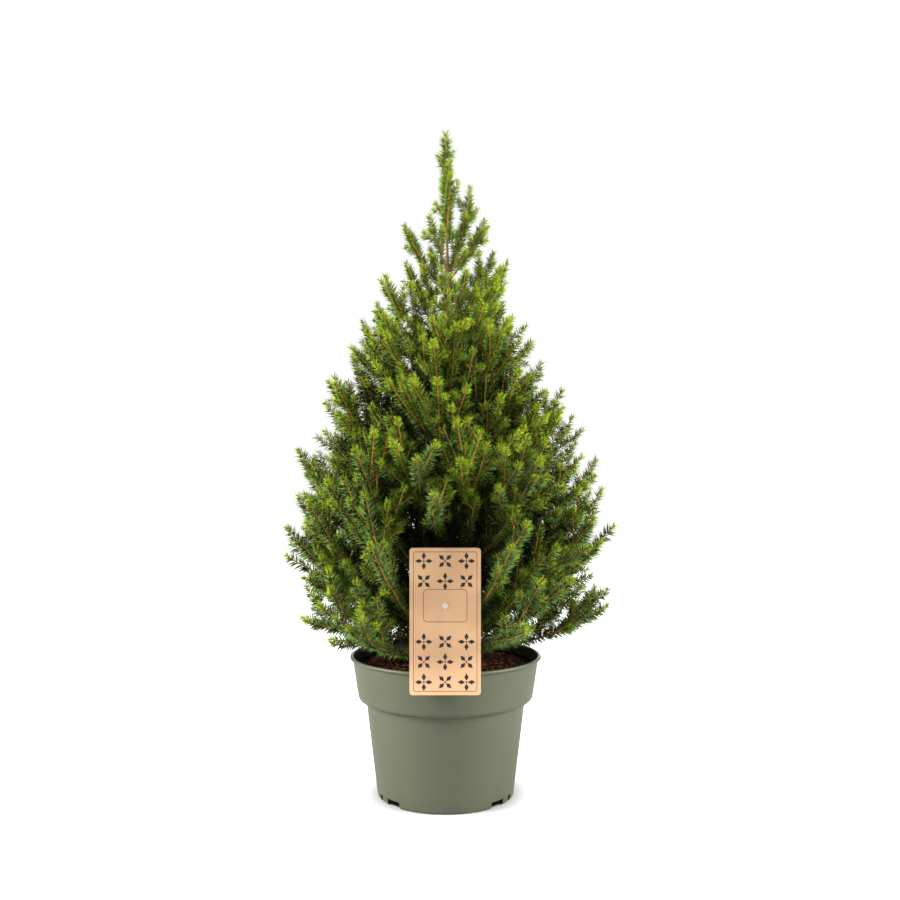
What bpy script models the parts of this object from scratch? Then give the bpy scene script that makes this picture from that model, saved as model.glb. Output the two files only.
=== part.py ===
"""Potted dwarf conical spruce: pot, soil, trunk, boughs, foliage masses and a hanging label card.

Units are metres, +Z is up and the front looks along -Y.
The origin is the centre of the pot's flat underside.
Azimuths are measured from +X towards +Y, so the front is at 270 degrees.
"""
import math
import random
from collections import namedtuple

import bmesh
import bpy
from mathutils import Matrix, Vector

GAP = 0.0003                    # clear space kept between neighbouring solids

# Pot: a straight tapering body under a wider band with a rolled lip
POT_HEIGHT = 0.1385
POT_WALL = 0.0013
POT_FLOOR = 0.0018
POT_SIDES = 32
BASE_RADIUS = 0.0678
BASE_ROUNDING = 0.0015
BODY_TOP_RADIUS = 0.0795
BAND_BOTTOM = 0.0990
BAND_BOTTOM_RADIUS = 0.0870
BAND_TOP = 0.1346
BAND_TOP_RADIUS = 0.0923
LIP_RADIUS = 0.0950             # outermost radius of the pot
LIP_ROLL = 0.0017               # radius of the rolled edge
LIP_STEPS = 4

# Drainage: a wide and a narrow notch beside each other, in the wall's foot
NOTCH_HEIGHT = 0.0065
NOTCH_DEPTH = 0.0080
NOTCHES = ((47.5, 0.0175), (65.5, 0.0060))      # degrees off the front or back, width
NOTCH_MIRRORS = ((1, 0), (-1, 0), (1, 180), (-1, 180))

# Soil, a shallow mound inside the pot
SOIL_EDGE = 0.1265
SOIL_TOP = 0.1300
SOIL_FLAT_RADIUS = 0.0160
SOIL_SHOULDER = (0.0500, 0.1287)
SOIL_CLEARANCE = POT_WALL + 1.3 * GAP           # from the pot's outside to the soil
STAKE_HOLE_SIDES = 8

# Trunk
TRUNK_FOOT = SOIL_TOP + GAP
TRUNK_TIP = 0.5480
TRUNK_FOOT_RADIUS = 0.0066
TRUNK_TIP_RADIUS = 0.0013
ROOT_FLARE = 0.0032
FLARE_HEIGHT = 0.0070
TRUNK_LEAN = 0.0040
TRUNK_SWAY = 0.0020
TRUNK_TAPER = 0.9               # power of the taper: under 1 it thins fastest at the foot
TRUNK_STATIONS = (0.0, 0.004, 0.010, 0.020, 0.040, 0.080)
TRUNK_STEP = 0.055
TRUNK_ROUNDNESS = 3

# Crown: radius of the outline at each height, to the tips of the needles
CROWN_TOP = 0.6600
CROWN_OUTLINE = (
    (0.140, 0.118), (0.165, 0.138), (0.185, 0.160), (0.235, 0.166), (0.282, 0.162),
    (0.342, 0.157), (0.385, 0.130), (0.435, 0.112), (0.480, 0.084), (0.527, 0.064),
    (0.572, 0.043), (0.605, 0.030), (0.636, 0.012), (0.660, 0.0005),
)
CROWN_FLOOR = 0.1410            # nothing in the crown hangs lower

Tier = namedtuple("Tier", "name count azimuth root climb tip droop twigs whorls sprays reach core bough")
# root, climb: height where the first limb leaves the trunk, and the rise from limb to limb
# tip: mean height of the tips; droop: how low the limb sets out
# twigs, whorls, sprays: how many twigs, whorls of needles on a twig, and side sprays
# reach: length of a twig; core: radius of the dense inside
# bough: share of the limb that is a bare bough, or none
TIERS = (
    Tier("skirt", 6, 0.0, 0.1440, 0.0035, 0.182, -0.10, 5, 3, 1, 0.082, 0.021, 0.36),
    Tier("low", 7, 244.3, 0.1640, 0.0030, 0.262, 0.05, 5, 3, 1, 0.082, 0.024, 0.34),
    Tier("waist", 6, 0.0, 0.2060, 0.0040, 0.340, 0.16, 5, 3, 1, 0.082, 0.025, 0.0),
    Tier("middle", 5, 198.0, 0.2640, 0.0070, 0.412, 0.22, 5, 2, 0, 0.072, 0.023, 0.0),
    Tier("shoulder", 5, 162.0, 0.3280, 0.0070, 0.462, 0.25, 5, 2, 0, 0.062, 0.019, 0.0),
    Tier("upper", 4, 200.0, 0.3960, 0.0080, 0.520, 0.25, 4, 2, 0, 0.050, 0.015, 0.0),
    Tier("top", 4, 155.0, 0.4620, 0.0080, 0.572, 0.28, 3, 2, 0, 0.038, 0.010, 0.0),
)
LEADER = Tier("leader", 1, 0.0, TRUNK_TIP, 0.0, CROWN_TOP, 0.0, 6, 2, 0, 0.052, 0.007, 0.0)
LIMB_SEED = 11
LIMB_ORDER = 3                  # limbs of a tier take every third step of its climb
LIMB_ELBOW = 0.55               # where a limb turns upwards, as a share of its reach
SHORTEST_LIMB = 0.97            # share of the outline's radius that every limb reaches
AZIMUTH_JITTER = 4.0
TIP_JITTER = 0.010
BOUGH_RADII = (0.0027, 0.0016)
BOUGH_POINTS = 5
BOUGH_SET_OUT = 0.0030          # length over which a bough stays square to the trunk
BOUGH_TURN = 0.0048             # distance from the trunk at which it joins the limb's curve
BOUGH_ROUNDNESS = 1

# Foliage: twigs and sprays are slim four-sided cores that needle points stand out of
STEM_RADIUS = 0.0015
TWIG_RADIUS = 0.0011
SPRAY_RADIUS = 0.0009
CORE_RADIUS = 0.0019
NEEDLE_REACH = 0.0088           # how far a needle point stands off its twig's middle
NEEDLE_LEAN = 0.55              # how far it leans forward, as a share of the whorl spacing
TIP_TAPER = 0.55                # size of the last whorl against the first
GOLDEN_TURN = 137.5
TWIG_ANGLE = 43.0
TWIG_SPAN = (0.20, 0.76)        # stretch of the stem that bears twigs
TWIG_SHORTENING = 0.45          # loss of length from a twig at the foot to one at the tip
TWIG_NEEDLES = 0.92             # size of a twig's needles against the stem's
TWIG_ROLL_JITTER = 15.0
SPRAY_ANGLE = 42.0
SPRAY_PLACE = 0.52              # where a spray leaves its twig
SPRAY_LENGTH = 0.52             # against its twig
SPRAY_NEEDLES = 0.85
SPRAY_ROLL_JITTER = 60.0
LIFT = 0.22                     # upward sweep added to a twig's direction
SHOOT_BEND = 0.10               # rise of a shoot's tip over its straight line
STEEP = 0.2                     # a direction this near upright takes its side from +X
STEM_BARE = 0.62                # share of a stem that has no needle points
TWIG_BARE = 0.40
SPRAY_BARE = 0.20
STEM_WHORLS = 3
SPRAY_WHORLS = 2
SPACING_IN_MASS = 0.0130
SPACE_MARGIN = 1.6              # room kept to the next mass, in needle reaches
OUTLINE_MARGIN = 0.6            # room kept above the crown's floor, in needle reaches
FAR_MASS = 0.30                 # a stem this far away isn't tested, and likewise a shoot
FAR_SHOOT = 0.20
TRIES = 6
TRY_ROLL = 25.0                 # most that each further try rolls a shoot round
TRY_LEAN = 5.0
TRY_SHORTENING = 0.86
STEM_STEPS = 5
LAST_WHORL = 0.97               # where on a shoot the last whorl's needles stand
WHORL_TURN = 20.0
CORE_SIDES = 6
CORE_RINGS = 4
CORE_SPAN = (0.12, 0.88)        # stretch of the stem that the dense core surrounds
CORE_INSET = 0.0200             # how far the core stays inside the crown's outline
CORE_MARGIN = 0.0030
CORE_TUFT = 0.24                # relief of the core's tufts, as a share of its radius
CORE_SWELL = 0.6                # power of the core's swelling: under 1 its ends are blunt
CORE_STAGGER = 0.25             # how far tufts lean along the stem, as a share of a ring
CORE_SHRINK = 0.92

# Label card on its clear plastic stake
CARD_WIDTH = 0.0650
CARD_BOTTOM = 0.1190
CARD_TOP = 0.2530
CARD_THICKNESS = 0.0006
CARD_CORNER = 0.0030
CARD_Y = -0.0969
CARD_HOLE = 0.0018
CARD_HOLE_SIDES = 12
CARD_CORNER_STEPS = 3
STAKE_Z = 0.2005
STAKE_Y = -0.0820
STAKE_RADIUS = 0.0012
STAKE_DEPTH = 0.0220
STAKE_BEND = 0.0060
STAKE_BEND_STEPS = 3
STAKE_ROUNDNESS = 2
BUTTON_RADIUS = 0.00275
BUTTON_THICKNESS = 0.0014
BUTTON_DOME = (0.00165, 0.0005)                 # radius and height of its rounded face
BUTTON_EDGE = 0.0001
CARD_CLEARANCE = 0.0040

Limb = namedtuple("Limb", "name tier curve start")
Shoot = namedtuple("Shoot", "points bare root whorls reach")
Space = namedtuple("Space", "name axis")


def new_collection(name):
    """Add an empty collection to the scene."""
    collection = bpy.data.collections.new(name)
    bpy.context.scene.collection.children.link(collection)
    return collection


def new_material(name, colour, roughness):
    """Make a plain Principled material."""
    material = bpy.data.materials.new(name)
    material.use_nodes = True
    shader = material.node_tree.nodes["Principled BSDF"]
    shader.inputs["Base Color"].default_value = (*colour, 1.0)
    shader.inputs["Roughness"].default_value = roughness
    shader.inputs["Metallic"].default_value = 0.0
    return material


def add_mesh(name, mesh, material, collection):
    """Put a mesh in the scene as a named object."""
    mesh.name = name
    item = bpy.data.objects.new(name, mesh)
    mesh.materials.clear()
    mesh.materials.append(material)
    collection.objects.link(item)
    return item


def evaluated_mesh(item):
    """Give an object's mesh with its modifiers worked in."""
    depsgraph = bpy.context.evaluated_depsgraph_get()
    depsgraph.update()
    return bpy.data.meshes.new_from_object(item.evaluated_get(depsgraph))


def polar(radius, azimuth, height):
    """Point at a radius and an azimuth in degrees about the vertical axis."""
    angle = math.radians(azimuth)
    return Vector((radius * math.cos(angle), radius * math.sin(angle), height))


# ---------------------------------------------------------------- pot and soil

def body_radius(height):
    """Outer radius of the pot's body under the band."""
    share = height / BAND_BOTTOM
    return BASE_RADIUS + (BODY_TOP_RADIUS - BASE_RADIUS) * share


def band_radius(height):
    """Outer radius of the pot's band."""
    share = (height - BAND_BOTTOM) / (BAND_TOP - BAND_BOTTOM)
    return BAND_BOTTOM_RADIUS + (BAND_TOP_RADIUS - BAND_BOTTOM_RADIUS) * share


def lip_profile():
    """Rolled lip, from its inner side over the top to under its outer side."""
    middle = (LIP_RADIUS - LIP_ROLL, POT_HEIGHT - LIP_ROLL)
    points = []
    for step in range(LIP_STEPS * 3 // 2 + 1):
        angle = math.pi - step * math.pi / LIP_STEPS
        radius = middle[0] + LIP_ROLL * math.cos(angle)
        height = middle[1] + LIP_ROLL * math.sin(angle)
        points.append((radius, height))
    return points


def turned(name, profile, material, collection):
    """Turn a profile about the vertical axis."""
    mesh = bpy.data.meshes.new(name)
    vertices = [(radius, 0.0, height) for radius, height in profile]
    edges = [(index, index + 1) for index in range(len(profile) - 1)]
    mesh.from_pydata(vertices, edges, [])
    item = add_mesh(name, mesh, material, collection)
    screw = item.modifiers.new("turn", "SCREW")
    screw.axis = "Z"
    screw.angle = math.tau
    screw.steps = POT_SIDES
    screw.render_steps = POT_SIDES
    screw.use_merge_vertices = True
    screw.merge_threshold = 0.00001
    return item


def build_pot(material, parts, cutters):
    """Pot with its floor, band, lip and drainage notches."""
    shelf = BAND_BOTTOM + POT_WALL
    inner = [
        (0.0, POT_FLOOR),
        (body_radius(POT_FLOOR) - POT_WALL, POT_FLOOR),
        (body_radius(shelf) - POT_WALL, shelf),
        (band_radius(shelf) - POT_WALL, shelf),
    ]
    outer = [
        (band_radius(BAND_TOP), BAND_TOP),
        (BAND_BOTTOM_RADIUS, BAND_BOTTOM),
        (BODY_TOP_RADIUS, BAND_BOTTOM),
        (body_radius(BASE_ROUNDING), BASE_ROUNDING),
        (BASE_RADIUS - BASE_ROUNDING, 0.0),
        (0.0, 0.0),
    ]
    pot = turned("pot", inner + lip_profile() + outer, material, parts)
    notches = bpy.data.collections.new("Notches")
    cutters.children.link(notches)
    for side, turn in NOTCH_MIRRORS:
        for offset, width in NOTCHES:
            add_notch(270.0 + turn + side * offset, width, notches)
    cut = pot.modifiers.new("drainage", "BOOLEAN")
    cut.operation = "DIFFERENCE"
    cut.operand_type = "COLLECTION"
    cut.collection = notches
    cut.solver = "EXACT"
    return pot


def add_notch(azimuth, width, collection):
    """Block that cuts one notch through the foot of the wall."""
    mesh = bpy.data.meshes.new("notch")
    shape = bmesh.new()
    bmesh.ops.create_cube(shape, size=1.0)
    shape.to_mesh(mesh)
    shape.free()
    height = 2.0 * NOTCH_HEIGHT
    mesh.transform(Matrix.Diagonal((NOTCH_DEPTH, width, height, 1.0)))
    cutter = bpy.data.objects.new("notch", mesh)
    cutter.location = polar(BASE_RADIUS, azimuth, 0.0)
    cutter.rotation_euler.z = math.radians(azimuth)
    cutter.hide_render = True
    cutter.display_type = "WIRE"
    collection.objects.link(cutter)


def build_soil(material, parts, cutters):
    """Soil that fills the pot, with the hole that the stake stands in."""
    shelf = BAND_BOTTOM + POT_WALL + GAP
    bottom = POT_FLOOR + GAP
    profile = [
        (0.0, SOIL_TOP),
        (SOIL_FLAT_RADIUS, SOIL_TOP),
        SOIL_SHOULDER,
        (band_radius(SOIL_EDGE) - SOIL_CLEARANCE, SOIL_EDGE),
        (band_radius(shelf) - SOIL_CLEARANCE, shelf),
        (body_radius(shelf) - SOIL_CLEARANCE, shelf),
        (body_radius(bottom) - SOIL_CLEARANCE, bottom),
        (0.0, bottom),
    ]
    soil = turned("soil", profile, material, parts)
    mesh = bpy.data.meshes.new("stake_hole")
    shape = bmesh.new()
    bore = STAKE_RADIUS + 2.0 * GAP
    bmesh.ops.create_cone(
        shape, cap_ends=True, segments=STAKE_HOLE_SIDES, radius1=bore, radius2=bore,
        depth=2.0 * (STAKE_DEPTH + GAP),
    )
    shape.to_mesh(mesh)
    shape.free()
    hole = bpy.data.objects.new("stake_hole", mesh)
    hole.location = (0.0, STAKE_Y, SOIL_EDGE)
    hole.hide_render = True
    hole.display_type = "WIRE"
    cutters.objects.link(hole)
    cut = soil.modifiers.new("stake hole", "BOOLEAN")
    cut.operation = "DIFFERENCE"
    cut.object = hole
    cut.solver = "EXACT"
    return soil


# ---------------------------------------------------------------- label

def rounded_rectangle(width, bottom, top, corner):
    """Outline points of a card with round corners."""
    points = []
    middles = (
        (width / 2.0 - corner, top - corner, 0.0),
        (corner - width / 2.0, top - corner, 90.0),
        (corner - width / 2.0, bottom + corner, 180.0),
        (width / 2.0 - corner, bottom + corner, 270.0),
    )
    for across, height, start in middles:
        for step in range(CARD_CORNER_STEPS + 1):
            angle = math.radians(start + 90.0 * step / CARD_CORNER_STEPS)
            points.append((across + corner * math.cos(angle), height + corner * math.sin(angle)))
    return points


def build_card(material, parts):
    """Upright card with a round hole for the stake's pin."""
    curve = bpy.data.curves.new("label_card", "CURVE")
    curve.dimensions = "2D"
    curve.fill_mode = "BOTH"
    curve.extrude = CARD_THICKNESS / 2.0
    curve.resolution_u = 1
    hole = []
    for step in range(CARD_HOLE_SIDES):
        angle = math.tau * step / CARD_HOLE_SIDES
        hole.append((CARD_HOLE * math.cos(angle), STAKE_Z + CARD_HOLE * math.sin(angle)))
    for outline in (rounded_rectangle(CARD_WIDTH, CARD_BOTTOM, CARD_TOP, CARD_CORNER), hole):
        spline = curve.splines.new("POLY")
        spline.points.add(len(outline) - 1)
        spline.use_cyclic_u = True
        for point, (across, height) in zip(spline.points, outline):
            point.co = (across, height, 0.0, 1.0)
    curve.materials.append(material)
    card = bpy.data.objects.new("label_card", curve)
    card.location = (0.0, CARD_Y, 0.0)
    card.rotation_euler.x = math.radians(90.0)
    parts.objects.link(card)
    return card


def tube(name, points, radii, roundness, material, parts):
    """Round bar along a line of points, each with its own radius."""
    unit = 0.001
    curve = bpy.data.curves.new(name, "CURVE")
    curve.dimensions = "3D"
    curve.bevel_depth = unit
    curve.bevel_resolution = roundness
    curve.use_fill_caps = True
    spline = curve.splines.new("POLY")
    spline.points.add(len(points) - 1)
    for point, place, radius in zip(spline.points, points, radii):
        point.co = (*place, 1.0)
        point.radius = radius / unit
    curve.materials.append(material)
    item = bpy.data.objects.new(name, curve)
    parts.objects.link(item)
    return item


def stake_route():
    """Middle line of the stake from its foot in the soil to its bend, and on to the card."""
    points = [Vector((0.0, STAKE_Y, SOIL_EDGE - STAKE_DEPTH))]
    for step in range(STAKE_BEND_STEPS + 1):
        angle = math.radians(90.0 * step / STAKE_BEND_STEPS)
        forward = STAKE_BEND * (1.0 - math.cos(angle))
        drop = STAKE_BEND * (1.0 - math.sin(angle))
        points.append(Vector((0.0, STAKE_Y - forward, STAKE_Z - drop)))
    return points


def build_stake(material, parts):
    """Clear stake that stands in the soil and holds the card by a button."""
    points = stake_route()
    radii = [STAKE_RADIUS] * len(points)
    front = CARD_Y - CARD_THICKNESS / 2.0 - 1.5 * GAP
    button = (
        (front, STAKE_RADIUS),
        (front - BUTTON_EDGE, BUTTON_RADIUS),
        (front - BUTTON_THICKNESS, BUTTON_RADIUS),
        (front - BUTTON_THICKNESS - BUTTON_DOME[1], BUTTON_DOME[0]),
    )
    for place, radius in button:
        points.append(Vector((0.0, place, STAKE_Z)))
        radii.append(radius)
    return tube("label_stake", points, radii, STAKE_ROUNDNESS, material, parts)


# ---------------------------------------------------------------- trunk and boughs

def trunk_axis(height):
    """Middle of the trunk at a height: a slight lean that comes back to the middle."""
    share = (height - TRUNK_FOOT) / (CROWN_TOP - TRUNK_FOOT)
    share = max(0.0, min(1.0, share))
    across = TRUNK_LEAN * math.sin(math.pi * share) ** 2
    forward = TRUNK_SWAY * math.sin(math.tau * share) * share
    return Vector((across, forward, height))


def trunk_radius(height):
    """Radius of the trunk at a height, with the flare over its roots."""
    rise = height - TRUNK_FOOT
    share = min(1.0, rise / (TRUNK_TIP - TRUNK_FOOT))
    taper = TRUNK_FOOT_RADIUS + (TRUNK_TIP_RADIUS - TRUNK_FOOT_RADIUS) * share ** TRUNK_TAPER
    return taper + ROOT_FLARE * math.exp(-rise / FLARE_HEIGHT)


def trunk_heights():
    """Heights of the trunk's stations, close together over the flare."""
    heights = [TRUNK_FOOT + rise for rise in TRUNK_STATIONS]
    while heights[-1] + 1.5 * TRUNK_STEP < TRUNK_TIP:
        heights.append(heights[-1] + TRUNK_STEP)
    heights.append(TRUNK_TIP)
    return heights


def build_trunk(material, parts):
    """Whole trunk from its flat cut at the soil to its tip under the leader."""
    points = []
    radii = []
    for height in trunk_heights():
        points.append(trunk_axis(height))
        radii.append(trunk_radius(height))
    return tube("trunk", points, radii, TRUNK_ROUNDNESS, material, parts)


def crown_radius(height):
    """Radius of the crown's outline at a height."""
    for (low, low_radius), (high, high_radius) in zip(CROWN_OUTLINE, CROWN_OUTLINE[1:]):
        if height <= high:
            share = max(0.0, (height - low) / (high - low))
            return low_radius + (high_radius - low_radius) * share
    return 0.0


def limb_point(limb, share):
    """Point on a limb's curve, from the trunk's surface at 0 to its tip at 1."""
    root, elbow, tip = limb.curve
    rest = 1.0 - share
    return rest * rest * root + 2.0 * rest * share * elbow + share * share * tip


def lay_out_limbs():
    """One limb for each mass: its tier, its curve and where its foliage starts."""
    limbs = []
    rng = random.Random(LIMB_SEED)
    for tier in TIERS:
        for index in range(tier.count):
            azimuth = tier.azimuth + 360.0 * index / tier.count
            azimuth += rng.uniform(-AZIMUTH_JITTER, AZIMUTH_JITTER)
            tip_height = tier.tip + rng.uniform(-TIP_JITTER, TIP_JITTER)
            root_height = tier.root + tier.climb * (index * LIMB_ORDER % tier.count)
            middle = trunk_axis(root_height)
            outward = polar(1.0, azimuth, 0.0)
            reach = crown_radius(tip_height) * rng.uniform(SHORTEST_LIMB, 1.0)
            elbow = outward * (LIMB_ELBOW * reach)
            elbow.z = root_height + tier.droop * (tip_height - root_height)
            steepness = (elbow - middle).normalized().z
            clear = 1.2 * GAP if tier.bough else 1.5 * GAP + STEM_RADIUS * steepness
            root = middle + outward * (trunk_radius(root_height) + clear)
            tip = polar(reach, azimuth, tip_height)
            name = f"{tier.name}_{index + 1}"
            limbs.append(Limb(name, tier, (root, elbow, tip), tier.bough))
    return limbs


def bough_points(limb):
    """Points of a bough: square to the trunk at first, then along the limb's curve."""
    root = limb.curve[0]
    outward = Vector((root.x, root.y, 0.0)) - trunk_axis(root.z).xy.to_3d()
    points = [root, root + BOUGH_SET_OUT * outward.normalized()]
    first = BOUGH_TURN / (limb.curve[2] - root).length
    for step in range(1, BOUGH_POINTS):
        share = first + (limb.start - first) * step / (BOUGH_POINTS - 1)
        points.append(limb_point(limb, share))
    return points


def build_bough(limb, material, parts):
    """One tapering bough, which ends where it enters its mass."""
    points = bough_points(limb)
    thick, thin = BOUGH_RADII
    last = len(points) - 1
    radii = [thick + (thin - thick) * index / last for index in range(len(points))]
    return tube(f"bough_{limb.name}", points, radii, BOUGH_ROUNDNESS, material, parts)


# ---------------------------------------------------------------- growth of the foliage

def segment_distance(start_a, end_a, start_b, end_b):
    """Shortest distance between two straight segments."""
    along_a = end_a - start_a
    along_b = end_b - start_b
    between = start_a - start_b
    square_a = along_a.dot(along_a)
    square_b = along_b.dot(along_b)
    cross = along_a.dot(along_b)
    offset_a = along_a.dot(between)
    offset_b = along_b.dot(between)
    spread = square_a * square_b - cross * cross
    share_a = 0.0
    if spread > 1e-16:
        share_a = min(1.0, max(0.0, (cross * offset_b - offset_a * square_b) / spread))
    share_b = min(1.0, max(0.0, (cross * share_a + offset_b) / square_b))
    share_a = min(1.0, max(0.0, (cross * share_b - offset_a) / square_a))
    nearest_a = start_a + share_a * along_a
    nearest_b = start_b + share_b * along_b
    return (nearest_a - nearest_b).length


def point_distance(point, axis):
    """Distance from a point to a line of points."""
    nearest = 1.0
    for start, end in zip(axis, axis[1:]):
        along = end - start
        share = min(1.0, max(0.0, (point - start).dot(along) / along.dot(along)))
        nearest = min(nearest, (point - start - share * along).length)
    return nearest


def in_own_space(points, own, spaces, reach):
    """True where each point lies nearer its own mass's stem than any other's."""
    for point in points:
        here = point_distance(point, own.axis)
        for space in spaces:
            if space is own:
                continue
            if (space.axis[-1] - point).length > FAR_MASS:
                continue
            if point_distance(point, space.axis) < here + reach:
                return False
    return True


def inside_crown(point, reach):
    """True inside the crown's outline, above the rim and clear of the card."""
    if point.z - reach < CROWN_FLOOR or point.z > CROWN_TOP:
        return False
    if point.xy.length > crown_radius(point.z):
        return False
    beside_card = abs(point.x) > CARD_WIDTH / 2.0 + reach + CARD_CLEARANCE
    above_card = point.z > CARD_TOP + reach + CARD_CLEARANCE
    behind_card = point.y > CARD_Y + reach + CARD_CLEARANCE
    return beside_card or above_card or behind_card


def clear_of(points, reach, obstacles):
    """True where a shoot keeps its distance from every obstacle."""
    for start, end in zip(points, points[1:]):
        for low, high, radius in obstacles:
            if (low - start).length > FAR_SHOOT:
                continue
            if segment_distance(start, end, low, high) < radius + reach + GAP:
                return False
    return True


def turned_aside(direction, angle, roll):
    """Direction at an angle from another one, rolled about it, with a slight lift."""
    side = direction.cross(Vector((0.0, 0.0, 1.0)))
    if side.length < STEEP:
        side = direction.cross(Vector((1.0, 0.0, 0.0)))
    side.normalize()
    side = Matrix.Rotation(math.radians(roll), 3, direction) @ side
    aside = direction * math.cos(math.radians(angle)) + side * math.sin(math.radians(angle))
    aside.z += LIFT
    return aside.normalized()


def curved_shoot(start, direction, length):
    """Middle line of a shoot that bends slightly upwards."""
    points = [start]
    for share in (0.5, 1.0):
        point = start + direction * (length * share)
        point.z += SHOOT_BEND * length * share * share
        points.append(point)
    return points


def along(points, share):
    """Point and direction at a share of the way along a line of points."""
    place = share * (len(points) - 1)
    index = min(int(place), len(points) - 2)
    start = points[index]
    end = points[index + 1]
    return start + (end - start) * (place - index), (end - start).normalized()


def try_shoot(rng, parent, share, angle, roll, length, reach, room):
    """Find a length and a roll at which a side shoot fits, or give None."""
    start, direction = along(parent, share)
    own, spaces, crowded, obstacles = room
    for attempt in range(TRIES):
        turn = roll + rng.uniform(-TRY_ROLL, TRY_ROLL) * attempt
        lean = angle + rng.uniform(-TRY_LEAN, TRY_LEAN)
        points = curved_shoot(start, turned_aside(direction, lean, turn), length)
        outer = points[1:]
        if all(inside_crown(point, OUTLINE_MARGIN * reach) for point in outer):
            if in_own_space(outer, own, spaces, SPACE_MARGIN * reach):
                crowd = [(low, high, SPACING_IN_MASS - reach) for low, high, _ in crowded]
                free = clear_of(outer, reach, crowd) and clear_of(points, reach, obstacles)
                if free:
                    return points
        length *= TRY_SHORTENING
    return None


def as_segments(points, reach):
    """Segments of a shoot with the radius of the needles round it."""
    return [(start, end, reach) for start, end in zip(points, points[1:])]


def grow_mass(limb, own, spaces, obstacles):
    """Grow one mass by its seeded rule: a stem, its twigs and the sprays on them."""
    rng = random.Random(f"spruce {limb.name}")
    tier = limb.tier
    stem = own.axis
    shoots = [Shoot(stem, STEM_BARE, STEM_RADIUS, STEM_WHORLS, NEEDLE_REACH)]
    crowded = []
    first, last = TWIG_SPAN
    small_reach = SPRAY_NEEDLES * NEEDLE_REACH
    for index in range(tier.twigs):
        share = first + (last - first) * index / (tier.twigs - 1)
        roll = GOLDEN_TURN * index + rng.uniform(-TWIG_ROLL_JITTER, TWIG_ROLL_JITTER)
        length = tier.reach * (1.0 - TWIG_SHORTENING * share) * rng.uniform(0.9, 1.1)
        room = (own, spaces, crowded, obstacles)
        twig = try_shoot(rng, stem, share, TWIG_ANGLE, roll, length, NEEDLE_REACH, room)
        if twig is None:
            continue
        twig_reach = TWIG_NEEDLES * NEEDLE_REACH
        shoots.append(Shoot(twig, TWIG_BARE, TWIG_RADIUS, tier.whorls, twig_reach))
        twig_segments = as_segments(twig, NEEDLE_REACH)
        if index % 2 == 0 and tier.sprays > index // 2:
            room = (own, spaces, crowded + as_segments(stem, NEEDLE_REACH), obstacles)
            side = 90.0 + rng.uniform(-SPRAY_ROLL_JITTER, SPRAY_ROLL_JITTER)
            small = SPRAY_LENGTH * length
            spray = try_shoot(rng, twig, SPRAY_PLACE, SPRAY_ANGLE, side, small, small_reach, room)
            if spray is not None:
                shoots.append(Shoot(spray, SPRAY_BARE, SPRAY_RADIUS, SPRAY_WHORLS, small_reach))
                crowded += as_segments(spray, NEEDLE_REACH)
        crowded += twig_segments
    return shoots


def frames(points):
    """Place, direction and two cross directions at each point, without twist."""
    result = []
    direction = (points[1] - points[0]).normalized()
    side = direction.cross(Vector((0.0, 0.0, 1.0)))
    if side.length < STEEP:
        side = direction.cross(Vector((1.0, 0.0, 0.0)))
    side.normalize()
    for index, point in enumerate(points):
        before = points[max(0, index - 1)]
        after = points[min(len(points) - 1, index + 1)]
        slope = (after - before).normalized()
        side = direction.rotation_difference(slope) @ side
        direction = slope
        result.append((point, direction, side, direction.cross(side)))
    return result


def shoot_stations(shoot):
    """Rings of a shoot: place, core radius, needle reach and lean."""
    rings = [(0.0, shoot.root, shoot.root, 0.0)]
    if shoot.root >= STEM_RADIUS:
        rings.append((shoot.bare, 0.9 * shoot.root, 0.9 * shoot.root, 0.0))
    span = (LAST_WHORL - shoot.bare) / (shoot.whorls + 0.6)
    for whorl in range(shoot.whorls):
        share = shoot.bare + span * (whorl + 0.7)
        size = 1.0 + (TIP_TAPER - 1.0) * whorl / (shoot.whorls - 1)
        rings.append((share, CORE_RADIUS * size, shoot.reach * size, NEEDLE_LEAN * span))
    return rings


def shoot_object(shoot, collection):
    """Closed solid of one shoot: a bare foot, then a core with needle points standing out."""
    rings = shoot_stations(shoot)
    length = sum((end - start).length for start, end in zip(shoot.points, shoot.points[1:]))
    places = [along(shoot.points, ring[0])[0] for ring in rings] + [shoot.points[-1]]
    cross = frames(places)
    shape = bmesh.new()
    segments = len(rings) + 1
    bmesh.ops.create_uvsphere(shape, u_segments=4, v_segments=segments, radius=1.0)
    slim = set()
    for vertex in shape.verts:
        ring = round((1.0 - math.acos(max(-1.0, min(1.0, vertex.co.z))) / math.pi) * segments)
        if ring == 0:
            vertex.co = places[0]
            continue
        if ring == segments:
            vertex.co = places[-1]
            continue
        sector = round(math.atan2(vertex.co.y, vertex.co.x) / (math.pi / 2.0)) % 4
        share, core, reach, lean = rings[ring - 1]
        place, direction, side, up = cross[ring - 1]
        stands_out = sector % 2 == ring % 2
        radius = reach if stands_out else core
        forward = lean * length if stands_out else 0.0
        angle = sector * math.pi / 2.0 + math.radians(WHORL_TURN)
        outward = side * math.cos(angle) + up * math.sin(angle)
        vertex.co = place + outward * radius + direction * forward
        if not stands_out:
            slim.add(vertex)
    split_at_core(shape, slim)
    mesh = bpy.data.meshes.new("shoot")
    shape.to_mesh(mesh)
    shape.free()
    item = bpy.data.objects.new("shoot", mesh)
    collection.objects.link(item)
    return item


def core_radius(place, outward, wanted, own, spaces, obstacles):
    """Largest radius up to the wanted one at which the core stays in its own space."""
    radius = wanted
    while radius > STEM_RADIUS:
        point = place + outward * radius
        outer = place + outward * (radius + CORE_INSET)
        inside = inside_crown(outer, 0.0) and inside_crown(point, 2.0 * CORE_MARGIN)
        if inside and in_own_space([point], own, spaces, CORE_MARGIN):
            if clear_of([place, point], CORE_MARGIN, obstacles):
                return radius
        radius *= CORE_SHRINK
    return radius


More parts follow.
